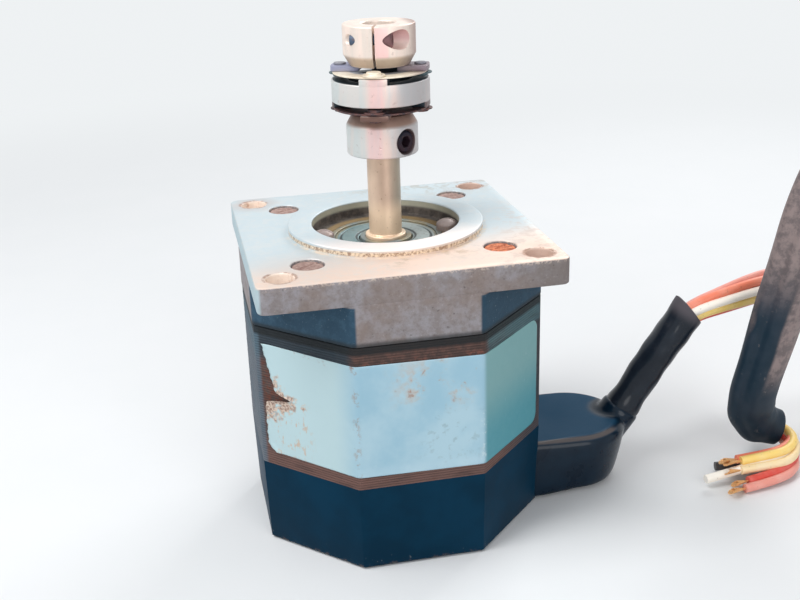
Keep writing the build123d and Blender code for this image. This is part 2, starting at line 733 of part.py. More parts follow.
with BuildPart() as coupling_ring:
    with BuildSketch(Plane.XY.offset(ring_bottom)):
        Circle(lug_diameter / 2)
        Circle(ring_bore / 2, mode=Mode.SUBTRACT)
    extrude(amount=ring_height)
    chamfer(coupling_ring.edges().filter_by(GeomType.CIRCLE), length=ring_edge)
    for level, side, along in ((ring_top, 1, lug_direction), (ring_bottom, -1, cross_direction)):
        face = Plane(origin=(0, 0, level - side * lug_root), x_dir=along, z_dir=(0, 0, 1))
        with BuildSketch(face):
            Rectangle(lug_diameter, lug_width)
            Circle(lug_diameter / 2 - seat_clearance, mode=Mode.INTERSECT)
            Circle(ring_bore / 2 + seat_clearance, mode=Mode.SUBTRACT)
        extrude(amount=side * (ring_lug_height + lug_root))
        lug_face = Plane(origin=(0, 0, level + side * ring_lug_height), x_dir=along, z_dir=(0, 0, 1))
        with BuildSketch(lug_face):
            with PolarLocations(rivet_radius, 2):
                Circle(rivet_shank / 2 + seat_clearance)
        extrude(amount=-side * (ring_lug_height + rivet_blind + face_gap), mode=Mode.SUBTRACT)
finish(coupling_ring.part, "coupling_ring")

with BuildPart() as ring_rivets:
    blind = ring_lug_height + rivet_blind
    add(rivet_pair(ring_top + ring_lug_height, up, lug_direction, blind, False))
    add(rivet_pair(ring_bottom - ring_lug_height, down, cross_direction, blind, False))
finish(ring_rivets.part, "ring_rivets")
finish(flexible_disc(upper_disc_bottom), "upper_disc")
finish(rivet_pair(clamp_hub_bottom, down, cross_direction, hub_lug_height, True), "upper_hub_rivets")

clamp_hub_radius = hub_diameter / 2
screw_level = clamp_hub_top - clamp_screw_drop
screw_point = lug_direction * clamp_screw_offset + Vector(0, 0, screw_level)
head_seat = screw_point + cross_direction * clamp_seat
half_chord = sqrt(clamp_hub_radius**2 - clamp_screw_offset**2)
with BuildPart() as clamp_hub:
    crown = Plane(origin=(0, 0, clamp_hub_top), x_dir=cross_direction, z_dir=(0, 0, -1))
    add(hub_blank(hub_diameter, coupling_bore / 2).moved(crown.location))
    with BuildSketch(Plane(origin=(0, 0, clamp_hub_bottom), x_dir=lug_direction, z_dir=(0, 0, 1))):
        with Locations((hub_diameter / 2, 0)):
            Rectangle(hub_diameter, slit_width)
    extrude(amount=hub_total, mode=Mode.SUBTRACT)
    with BuildSketch(Plane(origin=screw_point, z_dir=cross_direction)):
        Circle(clamp_screw_diameter / 2 + seat_clearance)
    extrude(amount=hub_diameter, both=True, mode=Mode.SUBTRACT)
    with BuildSketch(Plane(origin=head_seat, z_dir=cross_direction)):
        Circle(clamp_screw_head / 2 + clamp_head_gap)
    extrude(amount=hub_diameter, mode=Mode.SUBTRACT)
finish(clamp_hub.part, "clamp_hub")

with BuildPart() as clamp_screw:
    with BuildSketch(Plane(origin=head_seat, z_dir=cross_direction)):
        Circle(clamp_screw_head / 2)
    extrude(amount=clamp_screw_head_height)
    with BuildSketch(Plane(origin=head_seat, z_dir=cross_direction)):
        Circle(clamp_screw_diameter / 2)
    extrude(amount=-(clamp_seat + half_chord - clamp_screw_sink))
    with BuildSketch(Plane(origin=head_seat + cross_direction * clamp_screw_head_height, z_dir=cross_direction)):
        RegularPolygon(clamp_screw_diameter / 2 - clamp_screw_wall, 6, major_radius=False)
    extrude(amount=-socket_share * clamp_screw_head_height, mode=Mode.SUBTRACT)
finish(clamp_screw.part, "clamp_screw")

# ================================================================ leads
rise = radians(lead_angle)
lead_direction = Vector(cos(rise), 0, sin(rise))
lead_base = Plane(origin=lead_root, x_dir=(0, 1, 0), z_dir=lead_direction)
filling_length = tube_length - tube_overhang


def lead_point(distance):
    """Point on the shrink tube's axis at a distance from its root."""
    return tuple(Vector(*lead_root) + lead_direction * distance)


with BuildPart() as lead_boot:
    nose_radius = boot_width / 2
    nose_centre = boot_reach - nose_radius
    wall_inside = coil_space_radius + boot_wrap
    with BuildSketch(Plane.XY.offset(boot_lift)):
        with Locations(((wall_inside + nose_centre) / 2, 0)):
            Rectangle(nose_centre - wall_inside, boot_width)
        with Locations((nose_centre, 0)):
            Circle(nose_radius)
    extrude(amount=boot_height)
    top_rim = lead_boot.faces().sort_by(Axis.Z)[-1].edges()
    fillet(top_rim, radius=boot_edge)
    with BuildSketch(Plane(origin=lead_point(-collar_sink), x_dir=(0, 1, 0), z_dir=lead_direction)):
        Circle(collar_diameter / 2)
    extrude(amount=collar_sink + collar_length)
    add(rear_bell_blank(), mode=Mode.SUBTRACT)
    with BuildSketch(lead_base):
        Circle(tube_outside / 2 + seat_clearance)
    extrude(amount=boot_width, mode=Mode.SUBTRACT)
    # plug that fills the slot in the rear bell
    with BuildSketch(Plane.YZ.offset(wall_inside)):
        with Locations((0, boot_lift + boot_height / 2)):
            RectangleRounded(
                cable_slot_width - 2 * seat_clearance,
                cable_slot_height - 2 * seat_clearance,
                cable_slot_corner - seat_clearance,
            )
    extrude(amount=frame_width / 2 + boot_wrap - wall_inside)
finish(lead_boot.part, "lead_boot")

with BuildPart() as lead_tube:
    with BuildSketch(lead_base):
        Circle(tube_outside / 2)
        Circle(tube_outside / 2 - tube_wall, mode=Mode.SUBTRACT)
    extrude(amount=tube_length)
finish(lead_tube.part, "lead_tube")

with BuildPart() as lead_core:
    with BuildSketch(lead_base):
        Circle(tube_outside / 2 - tube_wall - seat_clearance)
    extrude(amount=filling_length)
finish(lead_core.part, "lead_core")

points = [Vector(*lead_point(filling_length)), Vector(*lead_point(tube_length + lead_exit_run))]
points += [Vector(*point) for point in route]
corner_radii = []
for before, corner, after in zip(points, points[1:], points[2:]):
    first_run = corner - before
    second_run = after - corner
    turn = first_run.get_angle(second_run)
    corner_radii.append(0.45 * min(first_run.length, second_run.length) / tan(radians(turn / 2)))
print("corner radii of the leads:", [round(radius, 1) for radius in corner_radii])
sleeve_run = points.index(Vector(*sleeve_start))
tail_run = points.index(Vector(*tail_start))
sleeve_entry = (points[sleeve_run] + points[sleeve_run + 1]) * 0.5
sleeve_exit = (points[tail_run] + points[tail_run + 1]) * 0.5
stretches = (
    ("lead_bundle", bundle_diameter, points[: sleeve_run + 1] + [sleeve_entry], corner_radii[:sleeve_run]),
    (
        "lead_sleeve", sleeve_diameter,
        [sleeve_entry] + points[sleeve_run + 1 : tail_run + 1] + [sleeve_exit],
        corner_radii[sleeve_run:tail_run],
    ),
    ("lead_tail", tail_diameter, [sleeve_exit] + points[tail_run + 1 :], corner_radii[tail_run:]),
)
for name, diameter, stretch, radii in stretches:
    with BuildPart() as lead:
        with BuildLine() as path:
            FilletPolyline(*stretch, radius=radii)
        with BuildSketch(Plane(origin=path.line @ 0, z_dir=path.line % 0)):
            Circle(diameter / 2)
        sweep()
    length = sum(edge.length for edge in path.line.edges())
    ideal = pi * (diameter / 2) ** 2 * length
    print(f"{name}: length {length:.1f} mm, volume / (section x length) {lead.part.volume / ideal:.4f}")
    finish(lead.part, name)
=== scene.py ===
"""Looks of an octagonal stepper motor with a double-disc shaft coupling and loose leads.

Sizes below are millimetres in the row frame: +Z along the shaft, +X towards the leads, -Y
towards the viewer. Meshes are written in metres. Levels that the model already holds are read
from its nodes' boxes.
"""

from math import cos, pi, radians, sin

import bmesh
import bpy
import numpy as np
from mathutils import Matrix, Quaternion, Vector


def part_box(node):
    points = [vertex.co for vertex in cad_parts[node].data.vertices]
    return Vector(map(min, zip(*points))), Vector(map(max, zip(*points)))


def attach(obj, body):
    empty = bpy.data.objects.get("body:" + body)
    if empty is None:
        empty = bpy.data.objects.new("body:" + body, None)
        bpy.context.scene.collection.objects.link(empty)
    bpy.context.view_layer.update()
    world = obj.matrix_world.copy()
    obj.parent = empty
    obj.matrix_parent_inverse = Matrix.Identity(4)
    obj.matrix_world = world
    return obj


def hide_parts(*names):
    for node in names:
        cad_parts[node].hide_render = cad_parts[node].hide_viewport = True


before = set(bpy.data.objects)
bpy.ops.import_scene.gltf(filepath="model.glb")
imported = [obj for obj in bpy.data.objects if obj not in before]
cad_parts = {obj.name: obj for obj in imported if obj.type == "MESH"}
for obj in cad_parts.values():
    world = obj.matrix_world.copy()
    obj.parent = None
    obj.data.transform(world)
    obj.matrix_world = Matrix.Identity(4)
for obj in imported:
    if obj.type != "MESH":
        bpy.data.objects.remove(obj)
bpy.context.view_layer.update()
scene = bpy.context.scene
MM = 0.001


def span(node, axis=2):
    """Lowest and highest place of a node along an axis, in millimetres."""
    low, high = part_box(node)
    return low[axis] / MM, high[axis] / MM


# ================================================================ camera
camera = bpy.data.objects.new("camera", bpy.data.cameras.new("camera"))
scene.collection.objects.link(camera)
camera.data.sensor_width = 36
camera.data.lens = 51.2
camera.data.clip_start = 0.01
camera.location = Vector((-40.66, -209.23, 126.0)) * MM
view_direction = Vector((0.1881, 0.9134, -0.3610))
camera.rotation_mode = "QUATERNION"
camera.rotation_quaternion = view_direction.to_track_quat("-Z", "Y") @ Quaternion((0, 0, 1), radians(-1.77))
scene.camera = camera


# ================================================================ shapes
def new_mesh(points, faces):
    """A mesh from millimetre points, its doubled points merged and its faces turned outwards."""
    mesh = bpy.data.meshes.new("shape")
    mesh.from_pydata(np.asarray(points, float).reshape(-1, 3) * MM, [], faces)
    return tidied(mesh)


def tidied(mesh):
    """The mesh with doubled points merged, loose edges removed and faces turned outwards."""
    work = bmesh.new()
    work.from_mesh(mesh)
    bmesh.ops.remove_doubles(work, verts=work.verts, dist=1e-7)
    bmesh.ops.delete(work, geom=[edge for edge in work.edges if not edge.link_faces], context="EDGES")
    bmesh.ops.recalc_face_normals(work, faces=work.faces)
    work.to_mesh(mesh)
    work.free()
    return mesh


def loft(rings, closed=False, capped=True):
    """Rings of equally many points joined one to the next, point k of a ring to point k of the next.

    A closed loft also joins the last ring to the first; an open one gets a flat face on each end.
    """
    rings = np.asarray(rings, float)
    index = np.arange(rings.shape[0] * rings.shape[1]).reshape(rings.shape[:2])
    lower, upper = (index, np.roll(index, -1, 0)) if closed else (index[:-1], index[1:])
    quads = np.stack([lower, np.roll(lower, -1, 1), np.roll(upper, -1, 1), upper], -1).reshape(-1, 4).tolist()
    if capped and not closed:
        quads += [index[0, ::-1].tolist(), index[-1].tolist()]
    return new_mesh(rings, quads)


def sheet_grid(points):
    """An open grid of points, each joined to its neighbours along both directions."""
    points = np.asarray(points, float)
    index = np.arange(points.shape[0] * points.shape[1]).reshape(points.shape[:2])
    quads = np.stack([index[:-1, :-1], index[:-1, 1:], index[1:, 1:], index[1:, :-1]], -1).reshape(-1, 4)
    mesh = bpy.data.meshes.new("shape")
    mesh.from_pydata(points.reshape(-1, 3) * MM, [], quads.tolist())
    return mesh


def rounded(corners, radius, steps=5):
    """An outline with rounded corners: (1-t)^2 A + 2t(1-t) P + t^2 B at each corner P.

    A and B lie on the sides next to P, a radius away or at most 0.45 of the side.
    """
    corners = np.asarray(corners, float)
    before = np.roll(corners, 1, 0) - corners
    after = np.roll(corners, -1, 0) - corners
    before_length = np.linalg.norm(before, axis=1)
    after_length = np.linalg.norm(after, axis=1)
    reach = np.minimum(radius, 0.45 * np.minimum(before_length, after_length))
    start = corners + before * (reach / before_length)[:, None]
    end = corners + after * (reach / after_length)[:, None]
    t = np.linspace(0, 1, steps)[None, :, None]
    curve = (1 - t) ** 2 * start[:, None] + 2 * t * (1 - t) * corners[:, None] + t**2 * end[:, None]
    return curve.reshape(-1, corners.shape[1])


def turned(profile, segments=96, closed=True, radius=0.0, steps=4):
    """A profile of (radius, height) corners carried round the Z axis, with its corners rounded.

    Point (r, z) goes to (r cos a, r sin a, z) for evenly spaced a. A profile that isn't closed
    starts and ends on the axis.
    """
    profile = np.asarray(profile, float)
    radii = np.full(len(profile), float(radius))
    if not closed:
        radii[[0, -1]] = 0
    profile = rounded(profile, np.maximum(radii, 1e-4), steps)
    if not closed:
        profile = profile[steps - 1 : len(profile) - steps + 1]
    angle = np.arange(segments) * 2 * pi / segments
    circle = np.stack([np.cos(angle), np.sin(angle), np.zeros(segments)], -1)
    rings = profile[:, :1, None] * circle[None] + profile[:, 1:, None] * np.array([0, 0, 1.0])
    return loft(rings, closed=closed, capped=False)


def rod(radius, low, high, segments, edge=0.0):
    """A solid round rod between two heights on the Z axis, its edges rounded."""
    return turned([(0, low), (radius, low), (radius, high), (0, high)], segments, False, edge)


def walled(outline, profile):
    """A closed outline carried up a profile of (outset, height) pairs, with flat ends.

    Ring k is the outline moved along its own normals by outset k, at height k.
    """
    outline = np.asarray(outline, float)
    along = np.roll(outline, -1, 0) - np.roll(outline, 1, 0)
    normal = np.stack([along[:, 1], -along[:, 0]], -1)
    normal /= np.linalg.norm(normal, axis=1)[:, None]
    profile = np.asarray(profile, float)
    flat = outline[None] + profile[:, :1, None] * normal[None]
    height = np.broadcast_to(profile[:, 1:, None], flat.shape[:2] + (1,))
    return loft(np.concatenate([flat, height], -1))


def edged(low, high, edge, steps=4):
    """Profile of a wall between two levels, its edges rounded: sine and cosine of a quarter turn."""
    turn = np.linspace(0, pi / 2, steps)
    bottom = np.stack([edge * (np.sin(turn) - 1), low + edge * (1 - np.cos(turn))], -1)
    top = np.stack([edge * (np.cos(turn) - 1), high - edge * (1 - np.sin(turn))], -1)
    return np.concatenate([bottom, top])


def octagon(width, flat, corner=0.8, steps=5):
    """Outline of a square with chamfered corners that leave each side its flat."""
    half, end = width / 2, flat / 2
    corners = [
        (half, -end), (half, end), (end, half), (-end, half),
        (-half, end), (-half, -end), (-end, -half), (end, -half),
    ]
    return rounded(corners, corner, steps)


def aimed(mesh, origin, axis, across=(0, 0, 1)):
    """The mesh moved so that its own Z runs along an axis from an origin."""
    z = Vector(axis).normalized()
    x = Vector(across).cross(z)
    x = x.normalized() if x.length > 1e-6 else Vector((1, 0, 0))
    turn = Matrix((x, z.cross(x), z)).transposed().to_4x4()
    mesh.transform(Matrix.Translation(Vector(origin) * MM) @ turn)
    return mesh


def joined(meshes):
    """Several closed forms in one mesh."""
    work = bmesh.new()
    for mesh in meshes:
        work.from_mesh(mesh)
    result = bpy.data.meshes.new("shape")
    work.to_mesh(result)
    work.free()
    return result


def evaluated(made):
    """A mesh of an object as its curve or its modifiers make it."""
    graph = bpy.context.evaluated_depsgraph_get()
    return bpy.data.meshes.new_from_object(made.evaluated_get(graph))


def cut(solid, tools):
    """The solid with each tool's volume taken out of it."""
    body = bpy.data.objects.new("cut", solid)
    helpers = [body] + [bpy.data.objects.new("tool", tool) for tool in tools]
    for helper in helpers:
        scene.collection.objects.link(helper)
    for helper in helpers[1:]:
        modifier = body.modifiers.new("cut", "BOOLEAN")
        modifier.operation = "DIFFERENCE"
        modifier.solver = "EXACT"
        modifier.object = helper
    result = evaluated(body)
    for helper in helpers:
        bpy.data.objects.remove(helper)
    return tidied(result)


def hole(radius, top, bottom, edge=0.0):
    """Tool for a round hole down from a face, with its rim broken by a small chamfer."""
    above = 0.3
    profile = [
        (0, bottom), (radius, bottom), (radius, top - edge),
        (radius + edge + above, top + above), (0, top + above),
    ]
    return turned(profile, segments=48, closed=False)


def placed(mesh, offset):
    """A copy of a mesh moved by millimetres."""
    copy = mesh.copy()
    copy.transform(Matrix.Translation(Vector(offset) * MM))
    return copy


def piece(name, mesh, finish, body, replaces=(), smooth=35):
    """A finished piece of the object: its mesh, material, body and the nodes that it stands for."""
    mesh.name = name
    mesh.materials.clear()
    mesh.materials.append(finish)
    mesh.shade_smooth()
    mesh.set_sharp_from_angle(angle=radians(smooth))
    made = bpy.data.objects.new(name, mesh)
    scene.collection.objects.link(made)
    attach(made, body)
    if replaces:
        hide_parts(*replaces)
    return made


# ================================================================ shader nodes
def shade(red, green, blue):
    """A colour given as it looks on a screen, turned into the linear values that shaders use."""
    return tuple(((value + 0.055) / 1.055) ** 2.4 for value in (red, green, blue)) + (1.0,)


class Field:
    """A number that varies over a surface; arithmetic on it adds Math nodes."""

    def __init__(self, tree, socket):
        self.tree = tree
        self.socket = socket

    def math(self, operation, *values):
        node = self.tree.node("ShaderNodeMath", {"operation": operation}, dict(enumerate(values)))
        return Field(self.tree, node.outputs[0])

    def __add__(self, other):
        return self.math("ADD", self, other)

    def __mul__(self, other):
        return self.math("MULTIPLY", self, other)

    __radd__, __rmul__ = __add__, __mul__

    def __sub__(self, other):
        return self.math("SUBTRACT", self, other)

    def __rsub__(self, other):
        return self.math("SUBTRACT", other, self)

    def __abs__(self):
        return self.math("ABSOLUTE", self)

    def at_least(self, other):
        return self.math("MAXIMUM", self, other)

    def at_most(self, other):
        return self.math("MINIMUM", self, other)

    def rise(self, low, high):
        """0 below one value and 1 above the other, with a smooth step between them."""
        settings = {"interpolation_type": "SMOOTHSTEP"}
        values = {"Value": self, "From Min": low, "From Max": high}
        node = self.tree.node("ShaderNodeMapRange", settings, values)
        return Field(self.tree, node.outputs[0])

    def fall(self, low, high):
        """1 below one value and 0 above the other."""
        return 1 - self.rise(low, high)

    def near(self, value, inner, outer):
        """1 where the number is close to a value, 0 from an outer distance on."""
        return abs(self - value).fall(inner, outer)


def total(fields):
    """The fields added up."""
    first, *others = fields
    return sum(others, first)


def distance(*offsets):
    """Root of the sum of the offsets' squares."""
    squares = total(offset * offset for offset in offsets)
    return squares.math("SQRT", squares)


class Tree:
    """The nodes of one material or world."""

    def __init__(self, owner):
        owner.use_nodes = True
        self.nodes, self.links = owner.node_tree.nodes, owner.node_tree.links

    def node(self, kind, settings, values):
        """Adds a node: its settings come first, then the values or links of its inputs."""
        node = self.nodes.new(kind)
        for key, value in settings.items():
            setattr(node, key, value)
        for key, value in values.items():
            self.put(node.inputs[key], value)
        return node

    def put(self, socket, value):
        """Gives an input its value, or links it when the value comes out of another node."""
        value = getattr(value, "socket", value)
        if isinstance(value, bpy.types.NodeSocket):
            self.links.new(value, socket)
        else:
            socket.default_value = value

    def seen(self):
        """1 on rays from the camera and on those that mirrors and glass pass on, 0 on the light's own."""
        ray = self.node("ShaderNodeLightPath", {}, {})
        kinds = ("Camera", "Glossy", "Transmission")
        return total(Field(self, ray.outputs[f"Is {kind} Ray"]) for kind in kinds).at_most(1)

    def show(self, output, share, first, second):
        """Sends a mix of two shaders to the tree's output node."""
        blend = self.node("ShaderNodeMixShader", {}, {0: share, 1: first.outputs[0], 2: second.outputs[0]})
        self.put(self.nodes[output].inputs["Surface"], blend.outputs[0])


class Finish(Tree):
    """One procedural material, built round a Principled shader."""

    def __init__(self, name, **constants):
        self.material = bpy.data.materials.new(name)
        super().__init__(self.material)
        self.shader = self.nodes["Principled BSDF"]
        self.place = self.node("ShaderNodeTexCoord", {}, {}).outputs["Object"]
        for socket, value in constants.items():
            self.shader.inputs[socket.replace("_", " ").title().replace("Ior", "IOR")].default_value = value

    def axes(self):
        """Object coordinates as three fields, in millimetres."""
        scaled = self.node("ShaderNodeVectorMath", {"operation": "SCALE"}, {0: self.place, "Scale": 1 / MM})
        split = self.node("ShaderNodeSeparateXYZ", {}, {0: scaled.outputs[0]})
        return [Field(self, output) for output in split.outputs]

    def stretched(self, scale, turn=(0, 0, 0)):
        """Object coordinates in millimetres, stretched and turned for a pattern."""
        values = {"Vector": self.place, "Scale": [value / MM for value in scale], "Rotation": turn}
        return self.node("ShaderNodeMapping", {}, values).outputs[0]

    def noise(self, size, detail, roughness=0.55, stretch=(1, 1, 1), turn=(0, 0, 0)):
        """Cloudy noise with features of about a size in millimetres, spread over 0 to 1."""
        vector = self.stretched([value / size for value in stretch], turn)
        values = {"Vector": vector, "Scale": 1.0, "Detail": detail, "Roughness": roughness}
        return Field(self, self.node("ShaderNodeTexNoise", {}, values).outputs[0])

    def mix(self, factor, first, second):
        """A colour between two others; each is a screen colour or comes from other nodes."""
        node = self.node("ShaderNodeMix", {"data_type": "RGBA"}, {0: factor})
        for place, value in ((6, first), (7, second)):
            self.put(node.inputs[place], shade(*value) if isinstance(value, (tuple, list)) else value)
        return node.outputs[2]

    def paint(self, colour, roughness=None, metallic=None, coat=None, height=None, strength=0.4, depth=0.1):
        """Feeds the shader's varying inputs; height is a relief of a depth in millimetres."""
        varying = {"Base Color": colour, "Roughness": roughness, "Metallic": metallic, "Coat Weight": coat}
        for socket, value in varying.items():
            if value is not None:
                self.put(self.shader.inputs[socket], value)
        if height is not None:
            values = {"Strength": strength, "Distance": depth * MM, "Height": height}
            bump = self.node("ShaderNodeBump", {}, values)
            self.put(self.shader.inputs["Normal"], bump.outputs[0])
        return self.material


class Layers:
    """A colour built up in layers: each covers those below it where its mask is 1."""

    def __init__(self, finish, share, first, second):
        self.finish = finish
        self.socket = finish.mix(share, first, second)

    def lay(self, mask, first, second=None, share=None):
        """Covers by a mask with one colour, or with a mix of two by a share."""
        tint = first if second is None else self.finish.mix(share, first, second)
        self.socket = self.finish.mix(mask, self.socket, tint)


# ================================================================ sizes
pilot_height, flange_height, bell_flat, sheet_thickness = 1.5, 5.0, 24.0, 0.5
pilot_radius, recess_radius, seat_radius = 19.05, 14.4, 11.03
bolt_place, bolt_radius = 23.57, 2.55
screw_place, screw_shank_radius, screw_well_radius = 17.9, 1.75, 3.05
screw_head_radius, screw_head_height = 2.95, 2.2
retainer_place, retainer_radius, retainer_shank_radius = 12.4, 2.15, 1.0
journal_radius, middle_radius, shaft_radius, shaft_step = 3.97, 5.0, 3.175, 58.0
hub_radius, neck_radius, lug_radius, rivet_place, disc_radius, disc_bore = 6.8, 5.6, 9.25, 7.6, 8.95, 4.6
hub_length, cone_length, lug_height, lug_width, lug_inside = 5.5, 2.1, 0.95, 5.2, 3.6
set_screw_place, set_screw_turn, lug_turn = 3.2, radians(-57.8), radians(-110)
clamp_screw_offset, clamp_screw_drop, clamp_seat = 4.8, 2.5, 1.5
# Levels of the motor and the coupling, read from the model.
stack_bottom, stack_top = span("stator_core")
half_width = span("front_bell", 0)[1]
pilot_top = span("front_bell")[1]
mounting_face = pilot_top - pilot_height
flange_bottom = mounting_face - flange_height
bearing_back, bearing_face = span("front_bearing_outer_race")
screw_low, screw_top = span("housing_screws")
hub_low, hub_high = span("shaft_hub")
barrel_top = hub_low + hub_length
ring_low, ring_high = span("coupling_ring")
clamp_low, clamp_high = span("clamp_hub")
clamp_screw_level = clamp_high - clamp_screw_drop
# The leads' way out: a tube that leans back over the boot, and the boot's round nose.
lead_rise = radians(55.8)
lead_root = np.array([49.4, 0.0, 10.6])
lead_direction = np.array([cos(lead_rise), 0.0, sin(lead_rise)])
tube_radius, tube_wall, tube_length = 3.6, 0.5, 28.6
nose_radius, nose_centre = 12.15, 38.8


# ================================================================ materials
def cast_metal():
    """Bare cast aluminium: a faced top, blue-grey behind and cream in front, and rough grey sides."""
    finish = Finish("cast_aluminium", specular_ior_level=0.35)
    x, y, z = finish.axes()
    radius = distance(x, y)
    broad = finish.noise(13, detail=4)
    mottle = finish.noise(2.0, detail=5, roughness=0.65)
    grain = finish.noise(0.55, detail=4, roughness=0.7)
    pits = finish.noise(0.8, detail=2, roughness=0.5)
    brushed = finish.noise(0.5, detail=2, stretch=(0.05, 1, 1), turn=(0, 0, 0.5))
    top = z.rise(mounting_face - 0.22, mounting_face - 0.04)
    # faced top: pale blue-grey behind, cream and peach towards the viewer
    front = (y * -1 + x * 0.12 + 10 * (broad - 0.5)).rise(5, 23)
    face = Layers(finish, front, (0.78, 0.83, 0.85), (0.92, 0.83, 0.77))
    face.lay(mottle.rise(0.40, 0.72) * 0.45, (0.85, 0.85, 0.84))
    around_pilot = radius.fall(pilot_radius + 1, 27) * radius.rise(pilot_radius, pilot_radius + 0.5)
    stain = (broad * 0.6 + mottle * 0.5).rise(0.56, 0.70) * around_pilot * y.fall(-17, -6)
    face.lay(stain * 0.60, (0.70, 0.57, 0.40))
    face.lay(brushed.rise(0.62, 0.76) * 0.16, (0.66, 0.66, 0.67))
    dust = (x - y * 0.5).rise(18, 34) * mottle.rise(0.46, 0.60)
    face.lay(dust * 0.40, (0.74, 0.63, 0.56))
    behind = y.rise(14, 27) * x.rise(-8, 6) * mottle.rise(0.44, 0.58)
    face.lay(behind * 0.45, (0.62, 0.60, 0.55))
    # rough sides: fine grey-brown skin with dark pits; painted light on the left side, and painted reflection
    # and shade make the corners under the flange dark
    side = Layers(finish, mottle.rise(0.38, 0.62), (0.53, 0.50, 0.50), (0.59, 0.575, 0.59))
    side.lay(broad.rise(0.46, 0.62) * 0.55, (0.52, 0.45, 0.41))
    side.lay(x.rise(14, 26) * 0.45, (0.43, 0.42, 0.42))
    side.lay(grain.rise(0.50, 0.72) * 0.30, (0.38, 0.34, 0.33))
    side.lay(grain.fall(0.30, 0.40) * 0.35, (0.70, 0.68, 0.68))
    side.lay(pits.rise(0.70, 0.76) * 0.5, (0.26, 0.22, 0.21))
    on_left = (x * -1).rise(half_width - 0.9, half_width - 0.3)
    lit_left_side = on_left * z.rise(flange_bottom, flange_bottom + 0.4)
    side.lay(lit_left_side * 0.85, (0.66, 0.76, 0.80), (0.76, 0.84, 0.86), mottle)
    chipped = z.rise(mounting_face - 0.9, mounting_face - 0.2) * grain.rise(0.50, 0.58)
    side.lay(chipped * 0.6, (0.86, 0.79, 0.73))
    chamfer = half_width + bell_flat / 2
    under_flange = z.fall(flange_bottom - 0.5, flange_bottom - 0.1)
    cut_corner = (abs(x) + abs(y)).rise(chamfer - 0.9, chamfer - 0.4) * under_flange
    # painted reflection and shade: the cut corners dark blue, darker on the right
    navy = Layers(finish, mottle.rise(0.45, 0.7), (0.10, 0.26, 0.35), (0.17, 0.32, 0.41))
    navy.lay(x.rise(0, 6) * 0.6, (0.04, 0.21, 0.29))
    navy.lay(grain.rise(0.62, 0.70) * 0.6, (0.45, 0.52, 0.56))
    side.lay(cut_corner * 0.95, navy)
    # painted shade at the foot of the neck
    neck_foot_shade = z.fall(stack_top + 0.4, stack_top + 1.3)
    side.lay(neck_foot_shade * 0.75, (0.13, 0.15, 0.16))
    colour = Layers(finish, top, side, face)
    crown = z.rise(pilot_top - 0.3, pilot_top - 0.1) * y.fall(-17, -6)
    colour.lay(crown * 0.9, (1.0, 0.965, 0.95))
    # pilot: speckled rim, painted shade in the recess with a paler band up its wall
    rim = radius.near(pilot_radius, 0.35, 0.6) * z.near(mounting_face + 0.62, 0.22, 0.5)
    colour.lay(rim * 0.85 * y.fall(-7, 8), (0.95, 0.86, 0.74), (0.62, 0.48, 0.37), grain.rise(0.42, 0.60))
    foot = radius.near(pilot_radius + 0.2, 0.25, 0.7) * z.near(mounting_face, 0.15, 0.3)
    colour.lay(foot * mottle.rise(0.42, 0.58) * 0.5 * y.fall(-12, 4), (0.96, 0.86, 0.74))
    # painted shade in the recess
    well = radius.fall(recess_radius + 0.05, recess_radius + 0.25) * z.fall(pilot_top - 0.4, pilot_top - 0.2)
    colour.lay(well * 0.95, (0.26, 0.24, 0.23), (0.40, 0.37, 0.34), mottle.rise(0.35, 0.65))
    on_wall = radius.rise(recess_radius - 0.2, recess_radius - 0.05)
    pale_wall_band = well * z.rise(pilot_top - 1.7, pilot_top - 1.1) * on_wall
    colour.lay(pale_wall_band * 0.85, (0.68, 0.69, 0.63), (0.80, 0.78, 0.70), mottle)
    golden = well * z.fall(bearing_face + 0.2, bearing_face + 0.5) * radius.fall(12.2, 13.2)
    colour.lay(golden * 0.8, (0.66, 0.56, 0.38), (0.45, 0.36, 0.25), mottle)
    # corner holes: painted light on their pale walls, less on the right, and a faint rusty ring round each
    # mouth
    from_hole = distance(abs(x) - bolt_place, abs(y) - bolt_place)
    wall = from_hole.fall(bolt_radius + 0.05, bolt_radius + 0.3) * z.rise(flange_bottom, flange_bottom + 0.5)
    pale = finish.mix(x.rise(0, 8), (0.98, 0.91, 0.85), (0.85, 0.74, 0.68))
    colour.lay(wall * 0.95, pale, (0.84, 0.70, 0.62), mottle.rise(0.5, 0.7))
    ring = from_hole.near(bolt_radius + 0.25, 0.15, 0.55) * mottle.rise(0.42, 0.54) * top
    colour.lay(ring * 0.65, (0.60, 0.42, 0.32))
    halo = from_hole.fall(bolt_radius, bolt_radius + 4.5) * broad.rise(0.46, 0.60) * top
    colour.lay(halo * 0.30, (0.74, 0.58, 0.50))
    height = mottle * 0.5 + grain * (0.2 + (1 - top) * 0.9) - pits.rise(0.66, 0.70) * (1 - top)
    rough = 0.44 + (1 - top) * 0.22 + mottle * 0.12
    return finish.paint(colour, rough, metallic=0.15 + top * 0.15, height=height, strength=0.5, depth=0.12)


def rusty_screw():
    """Plated screw heads gone brown, the front right one bright orange."""
    finish = Finish("plated_screw", metallic=0.1)
    x, y = finish.axes()[:2]
    mottle = finish.noise(0.9, detail=5, roughness=0.7)
    fine = finish.noise(0.3, detail=3)
    orange = x.rise(2, 6) * y.fall(-6, -2)
    brown = finish.mix(mottle.rise(0.35, 0.65), (0.56, 0.44, 0.41), (0.72, 0.61, 0.57))
    bright = finish.mix(mottle.rise(0.38, 0.62), (0.90, 0.55, 0.38), (0.62, 0.30, 0.18))
    colour = Layers(finish, orange, brown, bright)
    colour.lay(fine.rise(0.6, 0.7) * 0.5, (0.34, 0.23, 0.20))
    return finish.paint(colour, 0.6 + mottle * 0.3, height=mottle + fine * 0.5, strength=0.7, depth=0.15)


